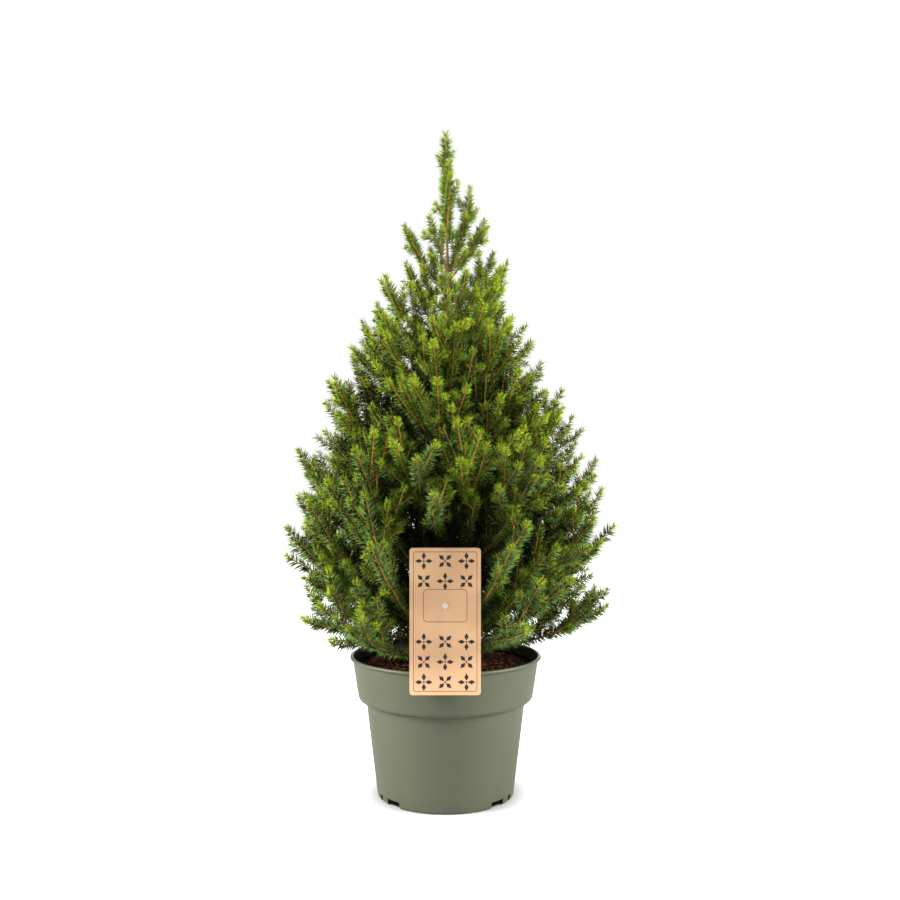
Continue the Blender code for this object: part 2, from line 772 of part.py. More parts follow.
def core_object(limb, own, spaces, obstacles, collection):
    """Dense inside of a mass: a tufted spindle round its stem, cut clear of its neighbours."""
    rng = random.Random(f"core {limb.name}")
    first, last = CORE_SPAN
    shares = [first + (last - first) * ring / (CORE_RINGS + 1) for ring in range(CORE_RINGS + 2)]
    places = [along(own.axis, share)[0] for share in shares]
    cross = frames(places)
    step = (places[-1] - places[0]).length / (CORE_RINGS + 1)
    shape = bmesh.new()
    segments = CORE_RINGS + 1
    bmesh.ops.create_uvsphere(shape, u_segments=CORE_SIDES, v_segments=segments, radius=1.0)
    for vertex in shape.verts:
        ring = round((1.0 - math.acos(max(-1.0, min(1.0, vertex.co.z))) / math.pi) * segments)
        sector = round(math.atan2(vertex.co.y, vertex.co.x) * CORE_SIDES / math.tau) % CORE_SIDES
        place, direction, side, up = cross[ring]
        if ring in (0, segments):
            vertex.co = place
            continue
        tuft = 1.0 if (sector + ring) % 2 else -1.0
        swell = math.sin(math.pi * ring / segments) ** CORE_SWELL
        wanted = limb.tier.core * swell * (1.0 + CORE_TUFT * tuft) * rng.uniform(0.9, 1.1)
        angle = math.tau * sector / CORE_SIDES
        outward = side * math.cos(angle) + up * math.sin(angle)
        start = place + direction * (CORE_STAGGER * step * tuft)
        radius = core_radius(start, outward, wanted, own, spaces, obstacles)
        vertex.co = start + outward * radius
    bmesh.ops.triangulate(shape, faces=shape.faces[:])
    mesh = bpy.data.meshes.new("core")
    shape.to_mesh(mesh)
    shape.free()
    item = bpy.data.objects.new("core", mesh)
    collection.objects.link(item)
    return item


def split_at_core(shape, slim):
    """Cut each four-sided face from core to core, so that the needle points stay slender."""
    for face in [face for face in shape.faces if len(face.verts) == 4]:
        first, second = [vertex for vertex in face.verts if vertex in slim][:2]
        bmesh.utils.face_split(face, first, second)
    bmesh.ops.triangulate(shape, faces=shape.faces[:])


def largest_shell(mesh):
    """Drop loose scraps and sealed hollows, and tell whether what is left is closed."""
    shape = bmesh.new()
    shape.from_mesh(mesh)
    shells = []
    left = set(shape.verts)
    while left:
        shell = set()
        queue = [left.pop()]
        while queue:
            vertex = queue.pop()
            shell.add(vertex)
            for edge in vertex.link_edges:
                other = edge.other_vert(vertex)
                if other in left:
                    left.discard(other)
                    queue.append(other)
        shells.append(shell)
    shells.sort(key=len)
    for shell in shells[:-1]:
        bmesh.ops.delete(shape, geom=list(shell), context="VERTS")
    closed = all(edge.is_contiguous for edge in shape.edges)
    shape.to_mesh(mesh)
    shape.free()
    return closed


def union_of(shoots, core, solver, parts):
    """Mesh of a mass's shoots and its dense core joined, and whether it is closed."""
    work = new_collection("Fusing")
    pieces = [shoot_object(shoot, work) for shoot in shoots]
    pieces.append(core_object(*core, work))
    stem = pieces[0]
    work.objects.unlink(stem)
    parts.objects.link(stem)
    union = stem.modifiers.new("fuse", "BOOLEAN")
    union.operation = "UNION"
    union.operand_type = "COLLECTION"
    union.collection = work
    union.solver = solver
    mesh = evaluated_mesh(stem)
    for piece in pieces:
        bpy.data.objects.remove(piece)
    bpy.data.collections.remove(work)
    return mesh, largest_shell(mesh)


def fuse(name, shoots, core, material, parts):
    """Join a mass into one closed solid, with fewer shoots where it doesn't close."""
    kept = list(shoots)
    closed = False
    while not closed:
        for solver in ("EXACT", "MANIFOLD"):
            mesh, closed = union_of(kept, core, solver, parts)
            if closed:
                break
        kept.pop()
    return add_mesh(name, mesh, material, parts)


def mass_axis(limb):
    """Middle line of a mass's stem, from its bough's tip or the trunk to the crown's edge."""
    if limb.start:
        tail = bough_points(limb)[-2:]
        start = tail[1] + (tail[1] - tail[0]).normalized() * GAP
    else:
        start = limb.curve[0]
    points = [start]
    for step in range(1, STEM_STEPS + 1):
        share = limb.start + (1.0 - limb.start) * step / STEM_STEPS
        points.append(limb_point(limb, share))
    return points


def leader_axis():
    """Middle line of the leader, from the trunk's tip to the top of the crown."""
    start = trunk_axis(TRUNK_TIP) + Vector((0.0, 0.0, GAP))
    points = [start]
    for step in range(1, STEM_STEPS + 1):
        points.append(trunk_axis(start.z + (CROWN_TOP - start.z) * step / STEM_STEPS))
    return points


def build_plant(bark, green, parts):
    """Trunk, boughs and foliage masses."""
    build_trunk(bark, parts)
    obstacles = []
    heights = trunk_heights()
    for low, high in zip(heights, heights[1:]):
        obstacles.append((trunk_axis(low), trunk_axis(high), trunk_radius(low)))
    obstacles += as_segments(stake_route(), STAKE_RADIUS)
    limbs = lay_out_limbs()
    for limb in limbs:
        if limb.start:
            build_bough(limb, bark, parts)
            obstacles += as_segments(bough_points(limb), BOUGH_RADII[0])
    spaces = [Space(limb.name, mass_axis(limb)) for limb in limbs]
    limbs.append(Limb("leader", LEADER, None, 0.0))
    spaces.append(Space("leader", leader_axis()))
    for limb, space in zip(limbs, spaces):
        shoots = grow_mass(limb, space, spaces, obstacles)
        core = (limb, space, spaces, obstacles)
        fuse(f"foliage_{limb.name}", shoots, core, green, parts)


def main():
    """Build the whole part."""
    for item in list(bpy.data.objects):
        bpy.data.objects.remove(item)
    parts = new_collection("Potted spruce")
    cutters = new_collection("Cutters")
    plastic = new_material("sage plastic", (0.205, 0.222, 0.142), 0.45)
    peat = new_material("bark soil", (0.030, 0.014, 0.008), 0.95)
    bark = new_material("bark", (0.110, 0.062, 0.034), 0.85)
    green = new_material("needles", (0.105, 0.155, 0.032), 0.60)
    kraft = new_material("kraft card", (0.640, 0.390, 0.215), 0.80)
    clear = new_material("clear plastic", (0.780, 0.780, 0.740), 0.25)
    build_pot(plastic, parts, cutters)
    build_soil(peat, parts, cutters)
    build_card(kraft, parts)
    build_stake(clear, parts)
    build_plant(bark, green, parts)


main()
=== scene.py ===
"""Dressed potted dwarf conical spruce: its pot, soil, bark, shoots, needles and hanging label card.

Units are metres, +Z is up and the front looks along -Y.
Azimuths are measured from +X towards +Y, so the front is at 270 degrees.
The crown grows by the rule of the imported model's masses, carried on to finer shoots and to needles.
"""
import math
import random
from collections import namedtuple

import bmesh
import bpy
from mathutils import Matrix, Vector, noise


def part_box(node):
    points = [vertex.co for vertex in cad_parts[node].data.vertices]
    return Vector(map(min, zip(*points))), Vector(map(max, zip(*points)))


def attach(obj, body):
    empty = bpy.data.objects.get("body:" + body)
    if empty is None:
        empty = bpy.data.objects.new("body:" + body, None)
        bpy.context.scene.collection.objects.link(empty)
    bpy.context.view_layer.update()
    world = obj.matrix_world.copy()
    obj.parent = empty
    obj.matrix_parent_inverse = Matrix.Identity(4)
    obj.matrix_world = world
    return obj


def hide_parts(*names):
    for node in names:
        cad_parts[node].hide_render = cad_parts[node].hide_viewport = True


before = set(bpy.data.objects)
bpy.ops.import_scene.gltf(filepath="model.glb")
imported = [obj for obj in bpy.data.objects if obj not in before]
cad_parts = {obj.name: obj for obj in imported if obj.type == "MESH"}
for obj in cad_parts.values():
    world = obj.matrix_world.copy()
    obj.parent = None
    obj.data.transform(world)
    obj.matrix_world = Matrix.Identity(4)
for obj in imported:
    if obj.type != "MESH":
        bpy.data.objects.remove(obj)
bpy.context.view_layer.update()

BODY = "root"
FRONT = 270.0                   # azimuth of the front
WHITE = (1.0, 1.0, 1.0)

NODES = sorted(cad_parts)
FOLIAGE_NODES = [name for name in NODES if name.startswith("foliage_")]
BOUGH_NODES = [name for name in NODES if name.startswith("bough_")]

# Pot: a straight tapering body under a wider band with a rolled lip
POT_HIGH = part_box("pot")[1]
POT_HEIGHT = POT_HIGH.z
LIP_RADIUS = POT_HIGH.x
LIP_ROLL = 0.0017
LIP_STEPS = 10
POT_WALL = 0.0013
POT_FLOOR = 0.0018
POT_SIDES = 144
BASE_RADIUS = 0.0678
BASE_ROUNDING = 0.0022
FOOT_WIDTH = 0.0075             # flat ring that the pot stands on
FOOT_RECESS = 0.0010            # how far the base is raised inside that ring
BODY_TOP_RADIUS = 0.0795
BAND_BOTTOM = 0.0990
BAND_BOTTOM_RADIUS = 0.0870
BAND_BOTTOM_ROUNDING = 0.0055
BAND_DROP = 0.0045              # how far that rounding runs under the band
BAND_FILLET = (0.0008, 0.0010)  # width and drop of the corner between the band and the body
FILLET_SINK = 0.0001            # taper of the body over that drop
BAND_TOP = 0.1346
BAND_TOP_RADIUS = 0.0923
ROUNDING_STEPS = 6
NOTCH_HEIGHT = 0.0065
NOTCH_DEPTH = 0.0080
NOTCHES = ((47.5, 0.0175), (65.5, 0.0060))      # degrees off the front or back, width
NOTCH_MIRRORS = ((1, 0), (-1, 0), (1, 180), (-1, 180))     # side, and turn to front or back
POT_CREASE = 32.0               # degrees between faces that meet in a sharp edge

# Soil: a shallow crumbly mound under bark chips
SOIL_EDGE = 0.1265
SOIL_TOP = 0.1300
SOIL_FLAT_RADIUS = 0.0160
SOIL_SHOULDER = (0.0500, 0.1287)
SOIL_CLEARANCE = 0.0017         # from the pot's outside to the soil
SOIL_SECTORS = 120
SOIL_RINGS = 44
SOIL_CRUMB = 0.0012             # height of the crumbs
SOIL_LOOSE = 0.0024             # loose crumbs and bark over the firm soil
SOIL_LIFT = 0.0003              # from the pot's inner floors to the soil
CRUMB_NOISE = (260.0, 700.0)    # scales of the coarse and the fine crumbs
CRUMB_SHARES = (0.75, 0.5)
CRUMB_SINK = 0.3
CHIP_SIZE = 0.0046
CHIP_EDGE = 0.0040              # ring along the wall that bears no chips
CHIP_MIDDLE = 0.012             # the same, round the trunk
CHIP_TILT = 0.7                 # radians
CHIP_PROPORTIONS = ((0.6, 1.7), (0.35, 0.8), (0.18, 0.42))      # least and greatest, each way
CHIP_BREAKS = (700.0, 0.55)     # scale and depth of the broken faces
GROUND_RINGS = 14
GROUND_SECTORS = 48
CHIPS = (                       # name, number on a square metre, size and seed
    ("chips_brown", 30000.0, 1.0, 3), ("chips_rust", 20000.0, 0.85, 8), ("chips_black", 16000.0, 0.7, 5),
)

# Trunk
TRUNK_LOW, TRUNK_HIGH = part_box("trunk")
TRUNK_FOOT = TRUNK_LOW.z
TRUNK_TIP = TRUNK_HIGH.z
TRUNK_FOOT_RADIUS = 0.0066
TRUNK_TIP_RADIUS = 0.0013
ROOT_FLARE = 0.0032
FLARE_HEIGHT = 0.0070
TRUNK_LEAN = 0.0040
TRUNK_SWAY = 0.0020
TRUNK_TAPER = 0.9
TRUNK_RING_STEP = 0.0022
TRUNK_SECTORS = 26
BARK_RELIEF = 0.16              # height of the bark's scales, as a share of the radius
BARK_RIDGES = (420.0, 0.35)     # scale of the upright ridges, and their stretch along Z
BARK_GRAIN = (900.0, 0.8)       # the same of the fine grain
RIDGE_SHARE = 0.55
BARK_SINK = 0.35

# Crown: radius of the outline at each height, to the tips of the needles
CROWN_TOP = 0.6600
CROWN_OUTLINE = (
    (0.140, 0.118), (0.165, 0.138), (0.185, 0.160), (0.235, 0.166), (0.282, 0.162),
    (0.342, 0.157), (0.385, 0.130), (0.435, 0.112), (0.480, 0.084), (0.527, 0.064),
    (0.572, 0.046), (0.605, 0.034), (0.636, 0.016), (0.660, 0.0005),
)
CROWN_FLOOR = 0.1410            # nothing in the crown hangs lower
FLOOR_RISE = 0.14               # rise of that edge towards the front, for each metre

Tier = namedtuple("Tier", "name count azimuth root climb tip droop thick")
# root, climb: height where the first limb leaves the trunk, and the rise from limb to limb
# tip: mean height of the tips; droop: how low the limb sets out; thick: its radius at the trunk
# The last three are single limbs, which fill the front of the crown over the card
TIERS = (
    Tier("skirt", 6, 0.0, 0.1440, 0.0035, 0.182, -0.10, 0.0026),
    Tier("low", 7, 244.3, 0.1640, 0.0030, 0.262, 0.05, 0.0027),
    Tier("waist", 6, 0.0, 0.2060, 0.0040, 0.340, 0.16, 0.0025),
    Tier("middle", 5, 198.0, 0.2640, 0.0070, 0.412, 0.22, 0.0023),
    Tier("shoulder", 5, 162.0, 0.3420, 0.0070, 0.462, 0.34, 0.0019),
    Tier("upper", 4, 200.0, 0.4220, 0.0080, 0.520, 0.42, 0.0016),
    Tier("top", 4, 155.0, 0.4960, 0.0080, 0.572, 0.45, 0.0013),
    Tier("over_card", 1, 269.0, 0.2460, 0.0, 0.302, 0.30, 0.0020),
    Tier("front_left", 1, 254.0, 0.2620, 0.0, 0.345, 0.24, 0.0020),
    Tier("front_right", 1, 284.0, 0.2560, 0.0, 0.352, 0.24, 0.0020),
)
LEADER = Tier("leader", 1, 0.0, TRUNK_TIP, 0.0, CROWN_TOP, 0.0, 0.0013)
LIMB_SEED = 11
LIMB_ORDER = 3                  # limbs of a tier take every third step of its climb
LIMB_ELBOW = 0.55               # where a limb turns upwards, as a share of its reach
SHORTEST_LIMB = 0.97
AZIMUTH_JITTER = 4.0
TIP_JITTER = 0.010
LIMB_STEP = 0.006
LIMB_TIP_RADIUS = 0.0005
LIMB_CLEARANCE = 0.0004         # of a bough's root to the trunk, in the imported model
LIMB_TAPER = 1.2
OLD_WOOD = 0.62                 # share of a limb that is an old bough
BOUGH_STEP = 0.0028
BOUGH_SIDES = 8
YOUNG_WOOD = 0.60               # share from which a limb is a shoot
YOUNG_WOOD_STEPS = 14
LEADER_STEPS = 20

# Shoots: long ones on the trunk and on the limbs, offshoots on those, then twigs and sprays
GOLDEN_TURN = 137.5
SHOOT_BEND = 0.12               # rise of a shoot's tip over its straight line
LEAST_STEPS = 3                 # fewest steps along a shoot
STEEP = 0.2                     # a direction this near upright takes its side from +X
NEEDLE_REACH = 0.0075           # how far needles stand off a shoot's middle
LEADER_ALLOWANCE = 0.0025       # the same, beyond the leader's tip
TIP_ALLOWANCE = 0.0050          # how far the needles stand beyond a shoot's tip
SIDE_ALLOWANCE = 0.0030         # the same, level with the shoot
TRIES = 6
TRY_ROLL = 30.0
TRY_LEAN = 6.0
TRY_SHORTENING = 0.84
CARD_CLEARANCE = 0.0060
ROOM_SAMPLE = 0.0055            # spacing of the points that keep shoots apart
ROOM_CELL = 0.0110              # cell of the grid that these points are kept in
STEM_FOOT = 0.020               # foot of a limb that takes up no room
SHOOT_FOOT = 0.004              # foot of a shoot that takes up no room and bears no needles
LONGEST_FOOT = 0.6              # most of a shoot that may pass close to other shoots
SHORTEST = 0.8                  # of the least length, what a shoot by its parent's tip starts from
LENGTH_SPREAD = (0.72, 1.12)
SPACING_SPREAD = (0.85, 1.15)
TRUNK_SAMPLES = 80
SHOOT_STEP = 0.008
SHOOT_TAPER = 0.5
SHOOT_SIDES = {"shoots_brown": 4, "shoots_tan": 5}

Order = namedtuple(
    "Order", "angle lift spacing thin first tip_free slope least most foot apart thick reach rise",
)
# angle: degrees off its parent; lift: upward sweep; spacing: along the parent
# thin: depth in the crown at which that spacing has doubled
# first: bare share of the parent's foot; tip_free: length of the parent's tip that bears none
# slope: gain in length for each metre to the parent's tip; least, most: lengths
# foot: length next to the parent that may pass close to other shoots
# apart: room kept between shoots beyond it; thick: radius at the shoot's foot
# reach: shares of the crown's outline between which the shoots end
# rise: degrees by which each further try stands closer to the parent
# Whips and inner shoots grow on the trunk, branches on the limbs
WHIPS = Order(
    57.0, 0.20, 0.0034, 1.0, 0.06, 0.13, 0.62, 0.080, 0.185, 0.040, 0.0112, 0.00105, (0.80, 1.02), 2.5,
)
BRANCHES = Order(
    28.0, 0.30, 0.0105, 1.0, 0.05, 0.030, 1.00, 0.030, 0.150, 0.009, 0.0108, 0.00095, (0.88, 1.09), 0.0,
)
INNER = Order(
    58.0, 0.22, 0.0050, 1.0, 0.06, 0.11, 0.55, 0.050, 0.180, 0.040, 0.0096, 0.00095, (0.72, 1.00), 5.0,
)
OFFSHOOTS = Order(
    30.0, 0.30, 0.0135, 1.0, 0.10, 0.028, 0.90, 0.026, 0.100, 0.009, 0.0102, 0.00078, (0.84, 1.08), 0.0,
)
TWIGS = Order(
    50.0, 0.20, 0.0068, 0.12, 0.04, 0.018, 0.32, 0.010, 0.026, 0.009, 0.0078, 0.00055, (0.82, 1.03), 0.0,
)
SPRAYS = Order(
    46.0, 0.20, 0.0080, 0.12, 0.20, 0.012, 0.40, 0.008, 0.013, 0.009, 0.0070, 0.00045, (0.80, 1.00), 0.0,
)
OPEN_CROWN = 0.400              # height above which the crown opens up
OPENING = 0.40                  # how much wider apart shoots stand at its top
GROWTH_SEED = 4003
ROLL_JITTER = 15.0
YOUNG_WOOD_DEPTH = 0.065        # shoots nearer to the crown's outline are tan; deeper in, dark brown: older wood and painted shade

# Needles, one size for the body of a shoot and another for its bright tip
TIP_LENGTH = 0.0082             # length of a shoot that bears its brightest needles
BODY_LEAN = (70.0, 55.0)        # degrees off the shoot, at its foot and below its tip
TIP_LEAN = (54.0, 38.0)
BODY_SIZE = (0.96, 1.0)
LEADER_SIZE = 1.25              # needles of the leader, against those of the other shoots
STRETCH = 0.022                 # length of shoot whose needles are of one mix
TIP_SIZE = (0.92, 0.78)
NEEDLE_LENGTH = 0.0055          # from its widest place to its tip
NEEDLE_WIDTH = 0.00102
NEEDLE_BELLY = 0.45             # how far up the widest place lies, against the rest of the needle
NEEDLE_FLATNESS = 0.58          # its thickness, against its width
NEEDLE_ROLL = 0.35              # radians that its place round the shoot varies by
NEEDLE_WOBBLE = 0.16            # radians that its lean varies by
NEEDLE_SPREAD = (0.82, 1.14)
NEEDLE_TRIANGLES = 4
NEEDLE_SEED = 17
NEEDLE_LINE_STEP = 0.004
MOST_IN_PIECE = 190000          # triangles
TIP_SPREAD = (0.8, 1.2)
LONGEST_TIP = 0.45              # most of a shoot that may bear its brightest needles
SHORTEST_STRETCH = 0.002
STRETCH_REST = 0.4              # a rest shorter than this share joins the stretch before it
BARE_LIMB = 0.22                # share of a limb's foot that bears no needles
BARE_LEADER = 0.05
NEEDLE_TONES = (1.34, 0.62)     # lightest and darkest patches, against the kind's colour

Kind = namedtuple("Kind", "name colour spacing scale roughness")
# colour: linear base colour; spacing: along the shoot, from needle to needle
KINDS = {
    kind.name: kind for kind in (
        Kind("tip", (0.285, 0.395, 0.018), 0.00026, 0.96, 0.48),
        Kind("bright", (0.180, 0.285, 0.015), 0.00029, 1.00, 0.50),
        Kind("fresh", (0.130, 0.212, 0.016), 0.00033, 1.00, 0.50),
        Kind("leaf", (0.078, 0.140, 0.011), 0.00035, 1.00, 0.52),
        Kind("blue", (0.108, 0.180, 0.042), 0.00032, 1.30, 0.54),
        # The three darkest kinds below are painted shade: dark needles put deeper in the crown and among
        # lit needles, where shade falls; the darkest, near black, also stands for the old dark needles
        # inside
        Kind("deep", (0.024, 0.049, 0.005), 0.00040, 1.08, 0.56),
        Kind("shade", (0.011, 0.020, 0.002), 0.00062, 1.30, 0.60),
        Kind("inner", (0.007, 0.010, 0.002), 0.00095, 1.50, 0.65),
    )
}
# Mixes of needles: down to which depth in the crown each one goes, and its kinds with their shares. The
# darker kinds deeper in, and the dark needles among lit ones, are painted shade; the lime tips are the
# new growth's own colour
TIP_MIXES = (
    (0.018, (("tip", 0.75), ("bright", 0.25))),
    (0.034, (("bright", 0.75), ("leaf", 0.25))),
    (0.056, (("fresh", 0.60), ("deep", 0.40))),
    (1.0, (("deep", 0.60), ("shade", 0.40))),
)
HIGH_MIXES = (
    (0.013, (("fresh", 0.70), ("deep", 0.30))),
    (0.028, (("leaf", 0.70), ("deep", 0.30))),
    (0.046, (("deep", 0.75), ("shade", 0.30))),
    (0.070, (("shade", 0.90),)),
    (1.0, (("inner", 0.95),)),
)
TOP_MIXES = (
    (0.020, (("fresh", 1.00), ("leaf", 0.35))),
    (0.040, (("fresh", 0.25), ("leaf", 0.85))),
    (1.0, (("leaf", 0.65), ("deep", 0.35))),
)
LOW_MIXES = (
    (0.024, (("blue", 0.72), ("deep", 0.28))),
    (0.040, (("leaf", 0.70), ("deep", 0.30))),
    (0.056, (("deep", 0.80), ("shade", 0.25))),
    (0.078, (("shade", 0.90),)),
    (1.0, (("inner", 0.95),)),
)
INWARD_FADE = (0.45, 0.45, 0.75, 0.90)  # how much of a place's own depth counts, by order of shoot
HIGH_CROWN = 0.460              # above this height the crown is thin, and its needles get little painted shade down to its middle
HIGH_DEPTHS = (0.002, 0.019)
LOW_FOLIAGE = 0.335             # below this height the outer needles are bluish
DEPTH_JITTER = 0.009
HEIGHT_JITTER = 0.040

# Label card and its clear plastic stake
CARD_LOW, CARD_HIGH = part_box("label_card")
CARD_WIDTH = CARD_HIGH.x - CARD_LOW.x
CARD_BOTTOM = CARD_LOW.z
CARD_TOP = CARD_HIGH.z
CARD_FRONT = CARD_LOW.y
CARD_Y = (CARD_LOW.y + CARD_HIGH.y) / 2.0
CARD_THICKNESS = CARD_HIGH.y - CARD_LOW.y
CARD_CORNER = 0.0030
CARD_CORNER_STEPS = 8
CARD_EDGE = 0.00010
CARD_HOLE = 0.0018
HOLE_POINTS = 24
PRINT_HEIGHT = 0.00004          # how far the print stands off the card
PRINT_DEPTH = 0.00010
BORDER_INSET = 0.0034
BORDER_WIDTH = 0.00045
BORDER_CORNER = 0.0020
LEAST_CORNER = 0.0002
LINE_CORNER_STEPS = 6
LOZENGE = (0.0068, 0.0040)      # length and width of one lozenge
LOZENGE_OFFSET = 0.0046
SEED_DOT = 0.00085
DOT_POINTS = 12
MOTIF_ROWS = 7
MOTIF_COLUMNS = 3
COLUMN_MARGIN = 0.35            # margins of the columns and of the rows, in their spacings
ROW_MARGIN = 0.3
ROW_FOOT = 0.65
PANEL_HEIGHT = 0.0300           # bare panel round the button
PANEL_WIDTH = 0.0400
PANEL_CORNER = 0.0040
STAKE_Z = 0.2005
STAKE_Y = -0.0820
STAKE_RADIUS = 0.0012
STAKE_DEPTH = 0.0220
STAKE_BEND = 0.0060
STAKE_SIDES = 20
STAKE_POINT = 0.6               # radius of its lower end, against its own
STAKE_CREASE = 50.0             # degrees between faces that meet in a sharp edge
BEND_STEPS = 9
BUTTON_RADIUS = 0.00275
BUTTON_THICKNESS = 0.0014
BUTTON_DOME = 0.0005
BUTTON_GAP = 0.00015            # from the card's face to the button
BUTTON_EDGE = ((0.00005, 0.96), (0.00020, 1.0))     # depth from its back, share of its radius
BUTTON_RIM = 0.0003             # height of its rounded front edge
BUTTON_CROWN = ((0.0, 0.93), (0.6, 0.7), (1.0, 0.35))   # shares of its dome and of its radius

# Finishes
Look = namedtuple("Look", "title light dark patches rough shader grain worn", defaults=("Mottle",))
# light, dark: linear colours; patches: scales of the broad and the fine ones, share of the fine
# rough: least and greatest roughness; shader: values of other inputs
# grain: scale, stretch along Z, strength and height of the bump, or none
# worn: the group whose mask moves the roughness
LOOKS = {
    "pot": Look(
        "sage plastic", (0.089, 0.098, 0.060), (0.076, 0.084, 0.049), (16.0, 420.0, 0.35),
        (0.40, 0.52), {"Specular_IOR_Level": 0.42}, (900.0, 0.35, 0.22, 0.00012),
    ),
    "card": Look(
        "kraft card", (0.790, 0.486, 0.280), (0.690, 0.405, 0.222), (60.0, 1500.0, 0.6),
        (0.74, 0.90), {}, (1300.0, 0.5, 0.35, 0.00012),
    ),
    "ink": Look(
        "black ink", (0.014, 0.010, 0.009), (0.005, 0.004, 0.004), (200.0, 2400.0, 0.7),
        (0.48, 0.70), {}, None,
    ),
    "clear": Look(
        "frosted plastic", (0.94, 0.93, 0.91), (0.86, 0.84, 0.80), (90.0, 700.0, 0.4),
        (0.24, 0.38), {"Transmission_Weight": 0.30, "IOR": 1.49}, (700.0, 1.0, 0.15, 0.0001),
    ),
}
SOIL_LOOK = Look(
    "", None, None, (120.0, 900.0, 0.5), (0.72, 0.98),
    {"Specular_IOR_Level": 0.05}, (1400.0, 1.0, 0.8, 0.0006),
)
SOILS = {
    "peat": ("damp peat", (0.010, 0.004, 0.0013), (0.002, 0.001, 0.0005)),
    "chips_brown": ("brown chips", (0.065, 0.021, 0.007), (0.016, 0.005, 0.002)),
    "chips_rust": ("rust chips", (0.210, 0.064, 0.018), (0.060, 0.017, 0.005)),
    "chips_black": ("black chips", (0.008, 0.004, 0.002), (0.002, 0.001, 0.001)),
}
BARK_LOOK = Look(               # its scales are multiples of the bark's own
    "", None, None, (1.0, 8.0, 0.45), (0.62, 0.95), {}, (4.0, 0.4, 0.7, 0.0004), "Grain",
)
BARKS = {
    "bark": ("scaly bark", (0.300, 0.160, 0.075), (0.100, 0.052, 0.028), 140.0),
    "shoots_brown": ("brown shoots", (0.110, 0.054, 0.024), (0.044, 0.022, 0.011), 180.0),
    "shoots_tan": ("tan shoots", (0.490, 0.235, 0.034), (0.270, 0.118, 0.017), 180.0),
}
NEEDLE_LOOK = Look(             # its roughness is counted from the kind's own
    "", None, None, (55.0, 600.0, 0.5), (-0.07, 0.09), {"Specular_IOR_Level": 0.08}, None,
)
PATCH_EDGES = (0.3, 0.7)        # noise at which the broad patches begin and end
PATCH_DETAILS = (3.0, 2.0)      # detail of the broad and of the fine patches
GRAIN_NOISE = (4.0, 0.6)        # detail and roughness
DUST_COLOUR = (0.085, 0.055, 0.032)
DUST = ((0.0, 0.016, 0.30), (POT_HEIGHT, 0.006, 0.42))     # level, reach and amount
DUST_SCALE = 160.0
DUST_NOISE = (5.0, 0.7)
DUST_EDGES = (0.42, 0.66)
FIBRE_COLOUR = (0.480, 0.262, 0.130)
FIBRE_SCALE = 520.0
FIBRE_WIDTH = 0.05
FIBRE_STRENGTH = 0.30

# Studio
CAMERA_PLACE = (0.0044, -1.0700, 0.3420)
CAMERA_LENS = 42.8
CAMERA_SENSOR = 36.0
FLOOR_RADIUS = 6.0
FLOOR_SIDES = 96
FLOOR_DROP = 0.0002
PAINTED_SHADOW_EDGE = (0.056, 0.108)    # radii between which the painted shadow on the floor round the pot's foot, a darker colour with no glow, fades out
# Painted shadow: floor colour next to the pot's foot, darker than the clear floor
FLOOR_PAINTED_SHADOW = (0.44, 0.45, 0.45)
FLOOR_CLEAR = (0.55, 0.55, 0.55)
FLOOR_ROUGHNESS = 0.9
AMBIENT = 0.035
LIT_PLACE = (0.0, 0.0, 0.30)
LAMPS = (                       # name, place, size, power and colour
    ("left softbox", (-1.5, -0.42, 0.9), 0.7, 66.0, (1.0, 0.99, 0.96)),
    ("right softbox", (1.5, -0.38, 0.8), 0.7, 55.0, (1.0, 0.99, 0.97)),
    ("front fill", (-0.3, -2.1, 0.9), 0.9, 9.0, (1.0, 1.0, 0.99)),
    ("overhead", (-0.1, -0.9, 2.0), 0.9, 13.0, (1.0, 1.0, 0.99)),
    ("back fill", (0.2, 2.1, 0.8), 0.9, 14.0, (1.0, 1.0, 0.99)),
)

Limb = namedtuple("Limb", "name tier points")
Shoot = namedtuple("Shoot", "points radius order key")


# ---------------------------------------------------------------- small helpers

def polar(radius, azimuth, height):
    """Point at a radius and an azimuth in degrees about the vertical axis."""
    angle = math.radians(azimuth)
    return Vector((radius * math.cos(angle), radius * math.sin(angle), height))


def blend(first, last, share):
    """Value at a share of the way from the first to the last."""
    return first + (last - first) * share


def arc(middle, radius, start, end, steps):
    """Points of a circular arc in a plane, from one angle in degrees to another."""
    points = []
    for step in range(steps + 1):
        angle = math.radians(blend(start, end, step / steps))
        points.append((middle[0] + radius * math.cos(angle), middle[1] + radius * math.sin(angle)))
    return points


def add_piece(name, mesh, material, replaced=()):
    """Put a finished mesh in the scene as a piece that rides on the plant."""
    mesh.name = name
    if material is not None:
        mesh.materials.clear()
        mesh.materials.append(material)
    piece = bpy.data.objects.new(name, mesh)
    bpy.context.scene.collection.objects.link(piece)
    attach(piece, BODY)
    if replaced:
        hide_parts(*replaced)
    return piece


def mesh_of(vertices, faces, smooth=True):
    """Mesh from vertices and faces, with its faces turned outwards."""
    mesh = bpy.data.meshes.new("mesh")
    mesh.from_pydata(vertices, [], faces)
    shape = bmesh.new()
    shape.from_mesh(mesh)
    bmesh.ops.recalc_face_normals(shape, faces=shape.faces[:])
    for face in shape.faces:
        face.smooth = smooth
    shape.to_mesh(mesh)
    shape.free()
    return mesh


def closed_faces(rings, sides):
    """Faces of a closed turned form: its first point, rings of points and its last point."""
    faces = []
    last = 1 + rings * sides
    foot = last - sides
    for side in range(sides):
        after = (side + 1) % sides
        faces.append((0, 1 + side, 1 + after))
        faces.append((last, foot + after, foot + side))
        for low in range(1, foot, sides):
            high = low + sides
            faces.append((low + side, high + side, high + after, low + after))
    return faces


